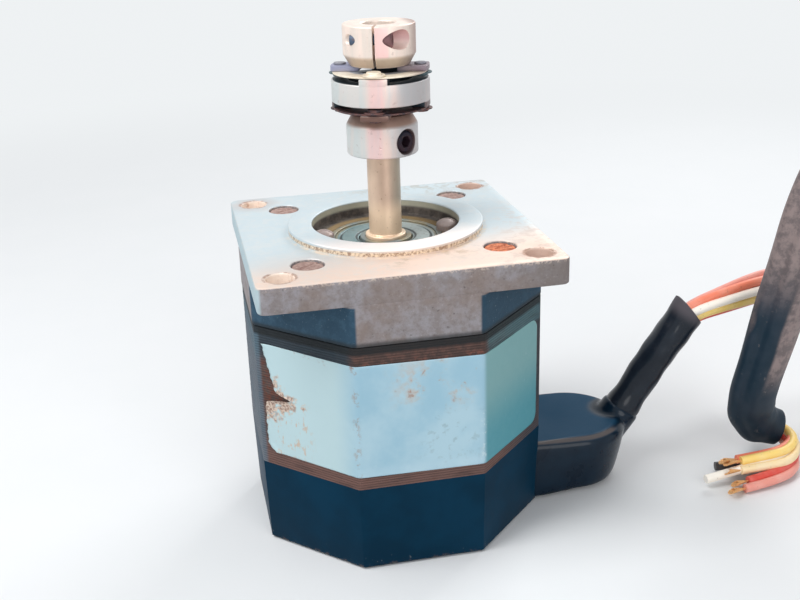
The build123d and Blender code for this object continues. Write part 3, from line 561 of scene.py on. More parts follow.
def lamination_steel():
    """Stacked sheets: rusty brown on the left and under the front bell, blue-black elsewhere."""
    finish = Finish("laminations", metallic=0.15, specular_ior_level=0.3)
    x, y, z = finish.axes()
    patch = finish.noise(7, detail=4)
    mottle = finish.noise(1.4, detail=5, roughness=0.7)
    sheets = z * (1 / sheet_thickness)
    line = sheets.near(sheets.math("ROUND", sheets), 0.05, 0.20)
    streak = finish.noise(0.9, detail=3, stretch=(0.12, 0.12, 1))
    colour = Layers(finish, patch.rise(0.35, 0.65), (0.30, 0.25, 0.24), (0.38, 0.31, 0.29))
    low_strip = z.fall(23, 25)
    colour.lay(low_strip * 0.8, (0.42, 0.33, 0.31), (0.50, 0.35, 0.31), patch)
    dark = (x.rise(14, 25) * 0.8).at_least((x * -1).rise(11.5, 12.5) * z.rise(38, 42))
    colour.lay(dark * 0.8, (0.12, 0.22, 0.27))
    over_label = x.rise(12, 13) * z.rise(41, 42) * y.fall(-13, -11)
    colour.lay(over_label * 0.7, (0.32, 0.46, 0.49))
    colour.lay(mottle.rise(0.5, 0.68) * 0.35 * abs(x).fall(11.5, 13), (0.42, 0.29, 0.24))
    colour.lay(streak.rise(0.5, 0.7) * 0.4, (0.17, 0.15, 0.16))
    strip = z.rise(stack_top - 4.6, stack_top - 3.6) * y.fall(-24, -14) * abs(x).fall(12, 13.5)
    colour.lay(strip * 0.8, (0.29, 0.22, 0.20), (0.39, 0.28, 0.25), mottle.rise(0.40, 0.60))
    seep = strip * z.fall(stack_top - 3.1, stack_top - 2.8) * mottle.rise(0.50, 0.62)
    colour.lay(seep * 0.45, (0.56, 0.33, 0.27))
    left = (x * -1).rise(13, 19) * mottle.rise(0.40, 0.60) * z.rise(22, 32) * z.fall(38, 41)
    colour.lay(left * 0.65, (0.45, 0.24, 0.17))
    behind = (x * -1).rise(half_width - 1.2, half_width - 0.6)
    colour.lay(behind * 0.65, (0.34, 0.44, 0.50), (0.42, 0.52, 0.58), patch)
    colour.lay(line * 0.5, (0.09, 0.09, 0.10))
    # painted shade along the top of the stack, under the neck
    shade_under_neck = z.rise(stack_top - 1.7, stack_top - 1.2)
    colour.lay(shade_under_neck * 0.9, (0.10, 0.12, 0.13))
    height = mottle * 0.6 - line * 0.8
    return finish.paint(colour, 0.55 + mottle * 0.25, height=height, strength=0.6, depth=0.12)


def foil():
    """Bare label foil, pale blue, scratched and worn, with rust bleeding in from its torn edge."""
    finish = Finish("label_foil", metallic=0.2)
    x, _, z = finish.axes()
    cloud = finish.noise(9, detail=4)
    mottle = finish.noise(1.6, detail=5, roughness=0.65)
    fine = finish.noise(0.4, detail=3)
    scratch = finish.noise(0.6, detail=4, roughness=0.7, stretch=(1, 1, 0.22), turn=(0, 0.55, 0))
    colour = Layers(finish, cloud.rise(0.35, 0.65), (0.59, 0.74, 0.81), (0.67, 0.79, 0.84))
    # painted light: the foil darker and greener on the right slanted face, paler on the left one
    colour.lay(x.rise(11.6, 12.8), (0.48, 0.66, 0.67), (0.31, 0.59, 0.64), z.fall(24, 36))
    colour.lay(x.fall(-16, -11), (0.72, 0.82, 0.84))
    border = (z.fall(20.6, 22.6) + z.rise(41.6, 43.2)).at_most(1) * abs(x).fall(11, 13)
    colour.lay(border * 0.3, (0.76, 0.85, 0.89))
    colour.lay(scratch.rise(0.66, 0.76) * 0.35, (0.80, 0.86, 0.88))
    # wear across the upper middle, bared warm metal and dark scuffs
    middle = x.near(4, 3, 12) * z.near(38, 1, 7)
    worn = (cloud * 0.7 + mottle * 0.6).rise(0.62, 0.78) * middle
    colour.lay(worn * 0.75, (0.74, 0.66, 0.60))
    colour.lay(worn * mottle.rise(0.60, 0.68) * 0.8, (0.60, 0.40, 0.28))
    scuffs = x.near(6, 2, 9) * z.near(27, 2, 8) * mottle.rise(0.56, 0.66)
    colour.lay(scuffs * 0.35, (0.47, 0.55, 0.58))
    # rust at the torn left edge and along the folds
    torn = ((x * -1) + (mottle - 0.5) * 16 - abs(z - 31.5) * 1.1).rise(20.5, 22.5)
    colour.lay(torn * 0.85, (0.55, 0.36, 0.26), (0.84, 0.74, 0.66), fine.rise(0.4, 0.6))
    runs = x.near(-22.5, 1.5, 4) * z.fall(30, 33) * (scratch + mottle).rise(1.06, 1.20)
    colour.lay(runs * 0.6, (0.80, 0.60, 0.42))
    bleed = z.rise(stack_top - 5.0, stack_top - 3.4) * mottle.rise(0.56, 0.66) * x.near(-16, 4, 10)
    colour.lay(bleed * 0.6, (0.58, 0.36, 0.25))
    stained = x.near(-12, 0.2, 1.0) * mottle.rise(0.56, 0.66)
    colour.lay(stained * 0.5, (0.60, 0.46, 0.38))
    scuffed = x.near(12, 0.2, 1.1) * (mottle + fine * 0.4).rise(0.76, 0.84) * cloud.rise(0.44, 0.56)
    colour.lay(scuffed * 0.6, (0.90, 0.93, 0.93))
    height = mottle * 0.3 + scratch.rise(0.64, 0.76) * 0.4 + fine * 0.2 + worn * 0.6
    return finish.paint(colour, 0.40 + mottle * 0.22, height=height, strength=0.35, depth=0.05)


def black_cast():
    """Smooth blue-black enamel on the rear bell, worn along its lowest edge."""
    finish = Finish("black_cast", coat_roughness=0.3, specular_ior_level=0.05)
    z = finish.axes()[2]
    cloud = finish.noise(11, detail=4)
    orange_peel = finish.noise(0.9, detail=2)
    chips = finish.noise(1.1, detail=3, roughness=0.6)
    colour = Layers(finish, cloud.rise(0.35, 0.7), (0.0, 0.16, 0.24), (0.01, 0.19, 0.28))
    worn = z.fall(0.5, 1.3) * chips.rise(0.52, 0.62)
    colour.lay(worn * 0.6, (0.42, 0.36, 0.33))
    nick = z.fall(0.8, 3.4) * chips.rise(0.66, 0.70)
    colour.lay(nick * 0.6, (0.46, 0.47, 0.48))
    return finish.paint(colour, 0.36 + cloud * 0.15, coat=0.02, height=orange_peel, strength=0.12, depth=0.05)


def black_rubber(name, base, rough, shine, dust, spread):
    """Black plastic, shiny on its ridges, with fine dust in its creases.

    Spread takes the finish and gives a mask and a colour for one part of the surface.
    """
    finish = Finish(name, coat_roughness=0.12, specular_ior_level=0.12)
    cloud = finish.noise(5, detail=4)
    skin = finish.noise(0.5, detail=3)
    dust_and_lit_side = finish.noise(2.0, detail=5, roughness=0.7)
    colour = Layers(finish, cloud.rise(0.35, 0.7), base, [value + 0.04 for value in base])
    colour.lay(dust_and_lit_side.rise(0.60, 0.75) * dust, (0.36, 0.33, 0.32))
    mask, tint = spread(finish)
    colour.lay(mask, tint)
    rough = rough + cloud * 0.12 + mask * 0.3
    height = cloud + skin * 0.3
    return finish.paint(colour, rough, coat=(1 - mask) * shine, height=height, strength=0.25, depth=0.12)


def from_lead_root(finish):
    """Distances from the foot of the leads' tube: along its axis, and across it both ways."""
    x, y, z = finish.axes()
    x, z = x - lead_root[0], z - lead_root[2]
    along = x * lead_direction[0] + z * lead_direction[2]
    aside = x * lead_direction[2] - z * lead_direction[0]
    return along, aside, y


def boot_top(finish):
    """The boot's flat top, dull and blue as a painted reflection round the collar, inside a painted highlight
    along the front of its rim.
    """
    x, y, z = finish.axes()
    from_collar = distance(*from_lead_root(finish)[1:])
    from_nose = distance((x - nose_centre).at_least(0), y)
    # painted reflection on the flat top, painted highlight along the front of the rim
    flat = z.rise(11.6, 12.3) * z.fall(13.1, 13.4) * from_nose.fall(9.9, 11.3) * from_collar.rise(5.0, 6.8)
    rim = from_nose.near(11.0, 0.25, 0.7) * z.rise(11.6, 12.2) * y.fall(-9, -7)
    return flat.at_least(rim * 0.7), finish.mix(rim, (0.0, 0.255, 0.375), (0.45, 0.42, 0.41))


def tube_mouth(finish):
    """The last few millimetres of the shrink tube, gone grey."""
    along = from_lead_root(finish)[0]
    return along.rise(tube_length - 3.1, tube_length - 0.1) * 0.8, (0.36, 0.34, 0.36)


def sleeve_cloth():
    """Soft outer sleeve: blue-black on its front; painted light makes it pale brown-grey beyond the crease,
    on a sliver at its left and over its crown, with specks of dust.
    """
    finish = Finish("outer_sleeve", specular_ior_level=0.2)
    x, _, z = finish.axes()
    cloud = finish.noise(9, detail=3)
    dust = finish.noise(2.2, detail=5, roughness=0.7)
    skin = finish.noise(0.6, detail=3)
    dark = finish.mix(cloud.rise(0.35, 0.65), (0.07, 0.155, 0.21), (0.15, 0.20, 0.25))
    pale = finish.mix(dust.rise(0.40, 0.62), (0.56, 0.50, 0.49), (0.43, 0.39, 0.39))
    # the crease leans and bends: x = 75.4 + 0.10 z + 0.0012 z^2
    across = x - (z * 0.10 + z * z * 0.0012 + 75.4) + (cloud - 0.5) * 1.5
    # painted light on the side beyond the crease, on a sliver at the left edge and over the crown
    beyond = across.rise(-1.6, -0.4) * z.rise(17, 26)
    crown = z.rise(35, 50)
    sliver = across.fall(-6.5, -5.9) * z.rise(27, 34) * 0.7
    dust_and_lit_side = (beyond + sliver) * (1 - crown) + crown
    colour = Layers(finish, dust_and_lit_side.at_most(1) * 0.95, dark, pale)
    colour.lay(dust.rise(0.62, 0.72) * 0.30, (0.56, 0.52, 0.50))
    height = cloud + skin * 0.3
    return finish.paint(colour, 0.48 + cloud * 0.15, coat=0.05, height=height, strength=0.3, depth=0.15)


def lathe_rings(finish):
    """Fine rings round the shaft's axis."""
    return finish.noise(0.22, detail=2, stretch=(0.02, 0.02, 1))


def turned_metal(name, base, second, metallic, stain=0.3, shine=0.5):
    """Lathe-turned metal: fine rings across its axis, cloudy tarnish and specks of dirt."""
    finish = Finish(name, metallic=metallic, specular_ior_level=shine)
    cloud = finish.noise(3.5, detail=4)
    mottle = finish.noise(0.9, detail=4, roughness=0.65)
    ring = lathe_rings(finish)
    colour = Layers(finish, cloud.rise(0.35, 0.65), base, second)
    colour.lay(mottle.rise(0.56, 0.72) * stain, (0.55, 0.42, 0.33))
    height = ring * 0.25 + mottle * 0.25
    return finish.paint(colour, 0.32 + mottle * 0.2 + ring * 0.08, height=height, strength=0.35, depth=0.05)


def shield_steel():
    """Pressed steel of the bearing shields, blue-grey, with dark dirt in the rolled grooves."""
    finish = Finish("pressed_steel", metallic=0.3)
    x, y = finish.axes()[:2]
    radius = distance(x, y)
    cloud = finish.noise(4, detail=4)
    mottle = finish.noise(0.9, detail=4, roughness=0.65)
    colour = Layers(finish, cloud.rise(0.35, 0.65), (0.50, 0.59, 0.60), (0.60, 0.65, 0.64))
    colour.lay(x.fall(-7, 1) * 0.6, (0.34, 0.47, 0.49))
    colour.lay(x.rise(1, 7) * 0.6, (0.70, 0.73, 0.72))
    colour.lay(mottle.rise(0.52, 0.68) * 0.5, (0.42, 0.40, 0.33))
    groove = (radius.near(8.9, 0.12, 0.30) + radius.near(5.8, 0.12, 0.32)).at_most(1)
    colour.lay(groove * 0.85, (0.13, 0.15, 0.16))
    colour.lay(radius.rise(9.3, 9.7) * 0.6, (0.58, 0.52, 0.38))
    return finish.paint(colour, 0.38 + mottle * 0.2, height=mottle, strength=0.25, depth=0.05)


def ground_shaft():
    """Ground steel of the shaft: painted light makes its left warm cream and painted shade its right greyer,
    with a few brown specks.
    """
    finish = Finish("shaft_steel", metallic=0.35)
    x, y, z = finish.axes()
    cloud = finish.noise(4, detail=3, stretch=(1, 1, 0.4))
    mottle = finish.noise(0.8, detail=4, roughness=0.65)
    ring = lathe_rings(finish)
    colour = Layers(finish, cloud.rise(0.35, 0.65), (0.84, 0.73, 0.64), (0.76, 0.65, 0.57))
    # painted highlight down the left side and painted shade on the right
    colour.lay(x.fall(-2.6, -0.8) * 0.5, (0.95, 0.84, 0.74))
    colour.lay((x - y * 0.2).rise(0.4, 3.0) * 0.7, (0.55, 0.56, 0.51))
    colour.lay(z.fall(62, 66) * z.rise(57, 58) * 0.7, (1.0, 0.88, 0.75))
    colour.lay(mottle.rise(0.62, 0.72) * 0.5, (0.55, 0.40, 0.33))
    height = ring * 0.3 + mottle * 0.2
    return finish.paint(colour, 0.30 + mottle * 0.15, height=height, strength=0.35, depth=0.05)


def coupling_metal():
    """Turned aluminium of the hubs and ring, cream on the barrels with painted reflections and shade, and
    painted brown shade under the discs.
    """
    finish = Finish("coupling_aluminium", specular_ior_level=0.4)
    x, y, z = finish.axes()
    cloud = finish.noise(4, detail=4)
    mottle = finish.noise(0.9, detail=4, roughness=0.65)
    ring = lathe_rings(finish)
    streak = finish.noise(2.4, detail=3, stretch=(1, 1, 0.15))
    colour = Layers(finish, streak.rise(0.38, 0.62), (0.84, 0.82, 0.81), (0.93, 0.83, 0.79))
    radius = distance(x, y)
    inside_hub = radius.fall(hub_radius - 0.08, hub_radius - 0.02)
    clamp = z.rise(clamp_low - 0.3, clamp_low - 0.2)
    # painted reflections and shade across the barrels: bluish on the left, a pale pink highlight band, greyer
    # on the right; the clamp hub gets the same pink band and a darker right side
    colour.lay(x.fall(-5.5, -2.5) * 0.6 * (1 - clamp), (0.78, 0.83, 0.83))
    colour.lay(x.near(-2.6, 0.8, 1.8) * y.fall(-3, -2) * 0.5 * (1 - clamp), (0.95, 0.77, 0.77))
    colour.lay(x.rise(-1.5, 3) * 0.8 * (1 - clamp), (0.69, 0.69, 0.70))
    colour.lay(clamp * 0.8, (0.93, 0.87, 0.82), (0.98, 0.91, 0.86), streak.rise(0.4, 0.6))
    stripe = clamp * x.near(-0.9, 0.9, 1.6) * (1 - inside_hub) * y.fall(-4, -3)
    colour.lay(stripe * 0.7, (0.98, 0.78, 0.77))
    colour.lay(clamp * x.rise(4.0, 6.4) * 0.8, (0.62, 0.50, 0.47))
    colour.lay(mottle.rise(0.60, 0.72) * 0.30, (0.60, 0.48, 0.44))
    # painted brown shade on both cones and lugs, darkest below
    lower = z.rise(barrel_top - 0.1, barrel_top + 0.7) * z.fall(hub_high - 0.05, hub_high + 0.05)
    colour.lay(lower * 0.9, (0.68, 0.56, 0.48), (0.50, 0.35, 0.31), cloud)
    lug_low = hub_high - lug_height
    lower_lug = z.rise(lug_low - 0.05, lug_low) * z.fall(hub_high - 0.1, hub_high) * radius.rise(6.6, 7.0)
    colour.lay(lower_lug * 0.85, (0.44, 0.33, 0.28), (0.34, 0.24, 0.24), mottle)
    lug_top = clamp_low + lug_height
    cone = z.near(lug_top + cone_length * 0.45, 0.5, 1.5)
    colour.lay(cone * 0.75, (0.76, 0.68, 0.58), (0.52, 0.44, 0.38), cloud)
    lugs = z.rise(clamp_low - 0.05, clamp_low) * z.fall(lug_top, lug_top + 0.1)
    colour.lay(lugs * 0.85, (0.52, 0.55, 0.68), (0.50, 0.45, 0.50), x.rise(-3, 3))
    under = z.rise(hub_high + 0.3, hub_high + 0.4) * z.fall(hub_high + 1.3, hub_high + 1.6)
    colour.lay(under * 0.8, (0.34, 0.25, 0.25))
    # painted shade inside the ring and round the set screw
    inner = radius.fall(8.85, 9.0) * z.rise(ring_low, ring_low + 0.1) * z.fall(ring_high, ring_high + 0.1)
    colour.lay(inner * 0.95, (0.10, 0.17, 0.21))
    aside = y * cos(set_screw_turn) - x * sin(set_screw_turn)
    from_screw = distance(aside, z - (hub_low + hub_length / 2))
    socket = from_screw.fall(2.30, 2.55) * x.rise(0, 1) * z.fall(barrel_top - 0.2, barrel_top)
    colour.lay(socket * 0.9, (0.13, 0.09, 0.11), (0.36, 0.20, 0.20), mottle)
    # pink-brown seat of the clamp screw
    outward = x * cos(lug_turn) + y * sin(lug_turn) - clamp_screw_offset
    along = y * cos(lug_turn) - x * sin(lug_turn)
    high = z - clamp_screw_level
    seat = distance(outward, high).fall(1.82, 1.9) * along.rise(1.3, 1.4) * inside_hub * clamp
    colour.lay(seat * 0.8, (0.97, 0.88, 0.84), (0.82, 0.62, 0.62), high.rise(-1.6, 0.4))
    height = ring * 0.25 + mottle * 0.25
    return finish.paint(colour, 0.34 + mottle * 0.2, metallic=0.35, height=height, strength=0.35, depth=0.05)


def disc_steel():
    """Spring steel of the discs, rivets and washers: cream above; painted shade darkens the right side, the
    upper disc's underside and middle, the rivets above it and the whole lower disc.
    """
    finish = Finish("spring_steel", specular_ior_level=0.4)
    x, y, z = finish.axes()
    mottle = finish.noise(0.9, detail=4, roughness=0.65)
    cloud = finish.noise(3, detail=3)
    upper = span("upper_disc")[0]
    colour = Layers(finish, cloud.rise(0.35, 0.65), (0.98, 0.94, 0.86), (0.90, 0.85, 0.77))
    # painted shade on the right
    colour.lay(x.rise(3, 7) * 0.6, (0.58, 0.47, 0.46))
    # painted shade round the hub's foot, under the upper disc, on the rivets above it and over the lower disc
    face = z.rise(upper + 0.2, upper + 0.28) * z.fall(upper + 0.32, upper + 0.36)
    middle = face * distance(x, y).fall(5.6, 6.6)
    colour.lay(middle * 0.7, (0.42, 0.50, 0.60), (0.58, 0.62, 0.68), mottle)
    underside = z.fall(upper + 0.01, upper + 0.05)
    colour.lay(underside * 0.9, (0.20, 0.34, 0.38))
    far_ends = z.rise(upper + 1.2, upper + 1.3)
    colour.lay(far_ends * 0.85, (0.40, 0.44, 0.52), (0.52, 0.52, 0.57), mottle)
    dark = z.fall(upper - 3, upper - 2)
    colour.lay(dark * 0.95, (0.26, 0.21, 0.23), (0.44, 0.30, 0.28), mottle.rise(0.4, 0.6))
    return finish.paint(colour, 0.36 + mottle * 0.2, metallic=0.35, height=mottle, strength=0.3, depth=0.05)


def plain_grain(name, base, second, rough=0.5, metallic=0.0):
    """A finish for pieces inside the motor: two close tones in a cloudy grain, slightly rough."""
    finish = Finish(name, metallic=metallic)
    cloud = finish.noise(1.2, detail=4)
    fine = finish.noise(0.3, detail=3)
    colour = finish.mix(cloud.rise(0.35, 0.65), base, second)
    return finish.paint(colour, rough + fine * 0.15, height=fine, strength=0.3, depth=0.05)


def copper(name, deep, bright):
    """Copper wire, with its turns as fine ridges."""
    finish = Finish(name, metallic=0.6)
    values = {"Vector": finish.stretched([2.2] * 3), "Scale": 1.0, "Distortion": 0.4}
    wave = Field(finish, finish.node("ShaderNodeTexWave", {"bands_direction": "DIAGONAL"}, values).outputs[1])
    colour = finish.mix(wave, deep, bright)
    return finish.paint(colour, 0.3 + wave * 0.1, height=wave, strength=0.6, depth=0.1)


def insulation(name, base):
    """Shiny plastic insulation with a little grime and faded stretches."""
    finish = Finish(name)
    cloud = finish.noise(4, detail=3)
    grime = finish.noise(0.8, detail=4, roughness=0.7)
    faded = [0.25 + 0.75 * value for value in base]
    colour = Layers(finish, cloud.rise(0.4, 0.65) * 0.5, base, faded)
    colour.lay(grime.rise(0.60, 0.72) * 0.35, (0.40, 0.30, 0.24))
    return finish.paint(colour, 0.38 + grime * 0.15, height=grime, strength=0.2, depth=0.05)


CAST = cast_metal()
SCREW = rusty_screw()
SHEETS = lamination_steel()
FOIL = foil()
ENAMEL = black_cast()
RUBBER = black_rubber("moulded_rubber", (0.0, 0.09, 0.155), 0.22, 0.22, 0.08, boot_top)
SLEEVING = black_rubber("shrink_sleeving", (0.08, 0.11, 0.15), 0.26, 0.30, 0.15, tube_mouth)
SOFT_SLEEVE = sleeve_cloth()
COUPLING = coupling_metal()
RACE = turned_metal("bearing_steel", (0.50, 0.54, 0.54), (0.60, 0.56, 0.46), metallic=0.4, stain=0.4)
PRESSED = shield_steel()
SHAFT = ground_shaft()
SPRING = disc_steel()
BLACK_STEEL = turned_metal("black_screw", (0.11, 0.12, 0.17), (0.20, 0.14, 0.17), 0.0, stain=0.15, shine=0.15)
DARK_STEEL = turned_metal("dark_steel", (0.32, 0.38, 0.46), (0.26, 0.31, 0.38), metallic=0.2, shine=0.3)
CLAMP_STEEL = turned_metal("clamp_screw", (0.58, 0.40, 0.41), (0.40, 0.29, 0.30), metallic=0.2)
DOME = turned_metal("retainer_screw", (0.54, 0.48, 0.47), (0.66, 0.60, 0.58), metallic=0.25, stain=0.5)
PLASTIC = plain_grain("bobbin_plastic", (0.16, 0.15, 0.14), (0.22, 0.20, 0.18))
MAGNET = plain_grain("magnet", (0.30, 0.30, 0.31), (0.38, 0.37, 0.38), rough=0.45, metallic=0.4)
ROTOR_IRON = plain_grain("rotor_iron", (0.45, 0.44, 0.43), (0.55, 0.53, 0.50), rough=0.4, metallic=0.7)
BALL = plain_grain("ball_steel", (0.80, 0.80, 0.82), (0.86, 0.86, 0.87), rough=0.12, metallic=1.0)
COPPER = copper("copper_wire", (0.45, 0.20, 0.10), (0.83, 0.48, 0.28))
BARE_COPPER = copper("bare_copper", (0.93, 0.62, 0.38), (1.0, 0.88, 0.64))

CAD_FINISHES = {
    "stator_core": SHEETS, "front_bobbin_frame": PLASTIC, "rear_bobbin_frame": PLASTIC,
    "phase_a_coils": COPPER, "phase_b_coils": COPPER,
    "front_bearing_balls": BALL, "rear_bearing_balls": BALL,
    "front_bearing_cage": PRESSED, "rear_bearing_cage": PRESSED, "rear_bearing_shields": PRESSED,
    "rear_bearing_outer_race": RACE, "rear_bearing_inner_race": RACE,
    "spring_washer": SPRING, "rotor_magnet": MAGNET,
    "rear_rotor_cup": ROTOR_IRON, "front_rotor_cup": ROTOR_IRON, "lead_core": SLEEVING,
}
for node, finish in CAD_FINISHES.items():
    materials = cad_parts[node].data.materials
    materials.clear()
    materials.append(finish)

# ================================================================ leads
# The leads' route past the tube, in metres: out of the tube, round the loop and down to the floor.
route = [
    tuple((lead_root + lead_direction * (tube_length - 3.0)) * MM),
    (0.0668, 0.0006, 0.0335),
    (0.0740, 0.0010, 0.0351),
    (0.0820, 0.0015, 0.0368),
    (0.0980, 0.0030, 0.0385),
    (0.1155, 0.0030, 0.0425),
    (0.1283, 0.0000, 0.0550),
    (0.1306, -0.0040, 0.0730),
    (0.1215, -0.0085, 0.0875),
    (0.1050, -0.0115, 0.0890),
    (0.0920, -0.0125, 0.0775),
    (0.0852, -0.0125, 0.0615),
    (0.0812, -0.0123, 0.0445),
    (0.0788, -0.0110, 0.0285),
    (0.0770, -0.0088, 0.0160),
    (0.0794, -0.0060, 0.0088),
    (0.0862, -0.0042, 0.0052),
    (0.0910, -0.0062, 0.0044),
]
sleeve_begins = np.array([0.0985, -0.0120, 0.08325])
sleeve_ends = np.array([0.0858, -0.0044, 0.0054])
# In millimetres: how close a wire comes to the floor, and a wire's radius in the bundle.
floor_gap, wire_radius = 0.12, 0.98


def spline(name, points, diameter=0.0):
    """A smooth curve object through space: a NURBS spline of order 3 with the points as its poles."""
    curve = bpy.data.curves.new(name, "CURVE")
    curve.dimensions = "3D"
    curve.resolution_u = 12
    line = curve.splines.new("NURBS")
    line.points.add(len(points) - 1)
    line.points.foreach_set("co", [value for point in points for value in (*point, 1.0)])
    line.order_u = 3
    line.use_endpoint_u = True
    curve.bevel_depth = diameter / 2
    curve.bevel_resolution = 4
    curve.use_fill_caps = True
    made = bpy.data.objects.new(name, curve)
    scene.collection.objects.link(made)
    return made


def line_points(points):
    """Points read along the smooth curve that has these poles, in metres."""
    guide = spline("guide", points)
    mesh = evaluated(guide)
    line = np.empty(len(mesh.vertices) * 3)
    mesh.vertices.foreach_get("co", line)
    bpy.data.objects.remove(guide)
    return line.reshape(-1, 3)


def evenly(line, step):
    """The same line with points a step apart."""
    run = np.concatenate([[0], np.cumsum(np.linalg.norm(np.diff(line, axis=0), axis=1))])
    places = np.linspace(0, run[-1], int(run[-1] / step) + 2)
    return np.stack([np.interp(places, run, line[:, axis]) for axis in range(3)], -1)


def line_frames(line, reference):
    """Directions across a line: its tangent crossed with a reference, and that crossed again."""
    tangent = np.gradient(line, axis=0)
    tangent /= np.linalg.norm(tangent, axis=1)[:, None]
    first = np.cross(tangent, reference)
    first /= np.linalg.norm(first, axis=1)[:, None]
    return first, np.cross(tangent, first)


def tube_along(line, wide, high, segments=14, reference=(0, 1, 0), ripple=0.0, mouth=0):
    """A tube round a line of millimetre points: c + wide cos(a) f + high sin(a) g, flattened by the floor.

    Wide and high may be numbers or one value for each point; ripple adds to both round the tube. A
    mouth folds the wall back inside over so many points at the end of the line.
    """
    first, second = line_frames(line, np.array(reference, float))
    angle = np.arange(segments) * 2 * pi / segments
    count = len(line)
    wide = np.broadcast_to(wide, count)[:, None] + ripple
    high = np.broadcast_to(high, count)[:, None] + ripple
    wall = (wide * np.cos(angle))[..., None] * first[:, None]
    wall = wall + (high * np.sin(angle))[..., None] * second[:, None]
    rings = line[:, None] + wall
    if mouth:
        rings = np.concatenate([rings, (line[:, None] + 0.84 * wall)[: -mouth - 1 : -1]])
    rings[..., 2] = np.maximum(rings[..., 2], floor_gap)
    return loft(rings)


whole_line = line_points(route)
sleeve_first = int(np.argmin(np.linalg.norm(whole_line - sleeve_begins, axis=1)))
sleeve_last = int(np.argmin(np.linalg.norm(whole_line - sleeve_ends, axis=1)))
wire_line = evenly(whole_line[: sleeve_last + 1], 1.2 * MM)

WIRE_COLOURS = {
    "orange": (0.95, 0.52, 0.40), "white": (1.0, 0.97, 0.92), "yellow": (0.98, 0.84, 0.48),
    "pink": (0.92, 0.60, 0.54), "red": (0.85, 0.30, 0.25), "cream": (0.97, 0.87, 0.68),
    "black": (0.10, 0.09, 0.09),
}
WIRES = {name: insulation(f"wire_{name}", colour) for name, colour in WIRE_COLOURS.items()}


def wire_strand(place, angle):
    """One insulated wire of the bundle: the leads' line moved by r (cos b f + sin b g).

    b turns slowly along the run, and r breathes a little, but starts small in the tube's mouth.
    """
    line = wire_line / MM
    first, second = line_frames(line, np.array([0, 1.0, 0]))
    share = np.linspace(0, 1, len(line))[:, None]
    twist = 0.55 * 2 * pi
    turn = angle + twist * share
    slack = 1 + 0.10 * np.sin(9 * pi * share + angle * 2)
    mouth = 0.62 + 0.38 * np.clip(share / 0.09, 0, 1)
    centre = line + place * slack * mouth * (np.cos(turn) * first + np.sin(turn) * second)
    return tube_along(centre, wire_radius, wire_radius, segments=12)


def wire_bundle():
    """All the wires between the tube and the end of the sleeve: a ring of seven round three."""
    order = ["orange", "white", "yellow", "red", "cream", "orange", "pink", "pink", "white", "black"]
    around, middle = 7, 3
    places = [(2.35, number * 2 * pi / around) for number in range(around)]
    places += [(1.0, number * 2 * pi / middle) for number in range(middle)]
    strands = [wire_strand(place, angle + 0.2) for place, angle in places]
    mesh = joined(strands)
    made = piece("lead_wires", mesh, WIRES[order[0]], "motor_body", smooth=60)
    colours = list(dict.fromkeys(order))
    for colour in colours[1:]:
        mesh.materials.append(WIRES[colour])
    numbers = [np.full(len(strand.polygons), colours.index(colour)) for strand, colour in zip(strands, order)]
    mesh.polygons.foreach_set("material_index", np.concatenate(numbers).astype(np.int32))
    return made


def outer_sleeve():
    """Soft black sleeve over the wires, pressed flat, with a crease that runs down its front."""
    line = evenly(whole_line[sleeve_first : sleeve_last + 1], 0.7 * MM) / MM
    share = np.linspace(0, 1, len(line))[:, None]
    angle = np.arange(48) * 2 * pi / 48
    held = np.sin(pi * np.clip(share * 1.03, 0, 1)) ** 0.5
    crease = -1.0 * np.exp(-(((angle - 0.78 * pi) / 0.22) ** 2)) * held
    ridge = 0.45 * np.exp(-(((angle - 0.60 * pi) / 0.20) ** 2)) * held
    folds = 0.20 * np.sin(26 * share * pi + 1.2 * np.sin(angle)) * np.exp(-(((share - 0.93) / 0.08) ** 2))
    slow = 0.12 * np.sin(7 * pi * share + 2 * angle)
    wide = 5.5 - 1.5 * share[:, 0] ** 10
    high = 3.5 + 0.45 * np.sin(pi * share[:, 0])
    shell = tube_along(line, wide, high, segments=48, ripple=crease + ridge + folds + slow, mouth=7)
    return piece("outer_sleeve", shell, SOFT_SLEEVE, "motor_body", ["lead_sleeve"], 70)


wires = wire_bundle()
sleeve = outer_sleeve()
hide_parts("lead_bundle", "lead_tail")

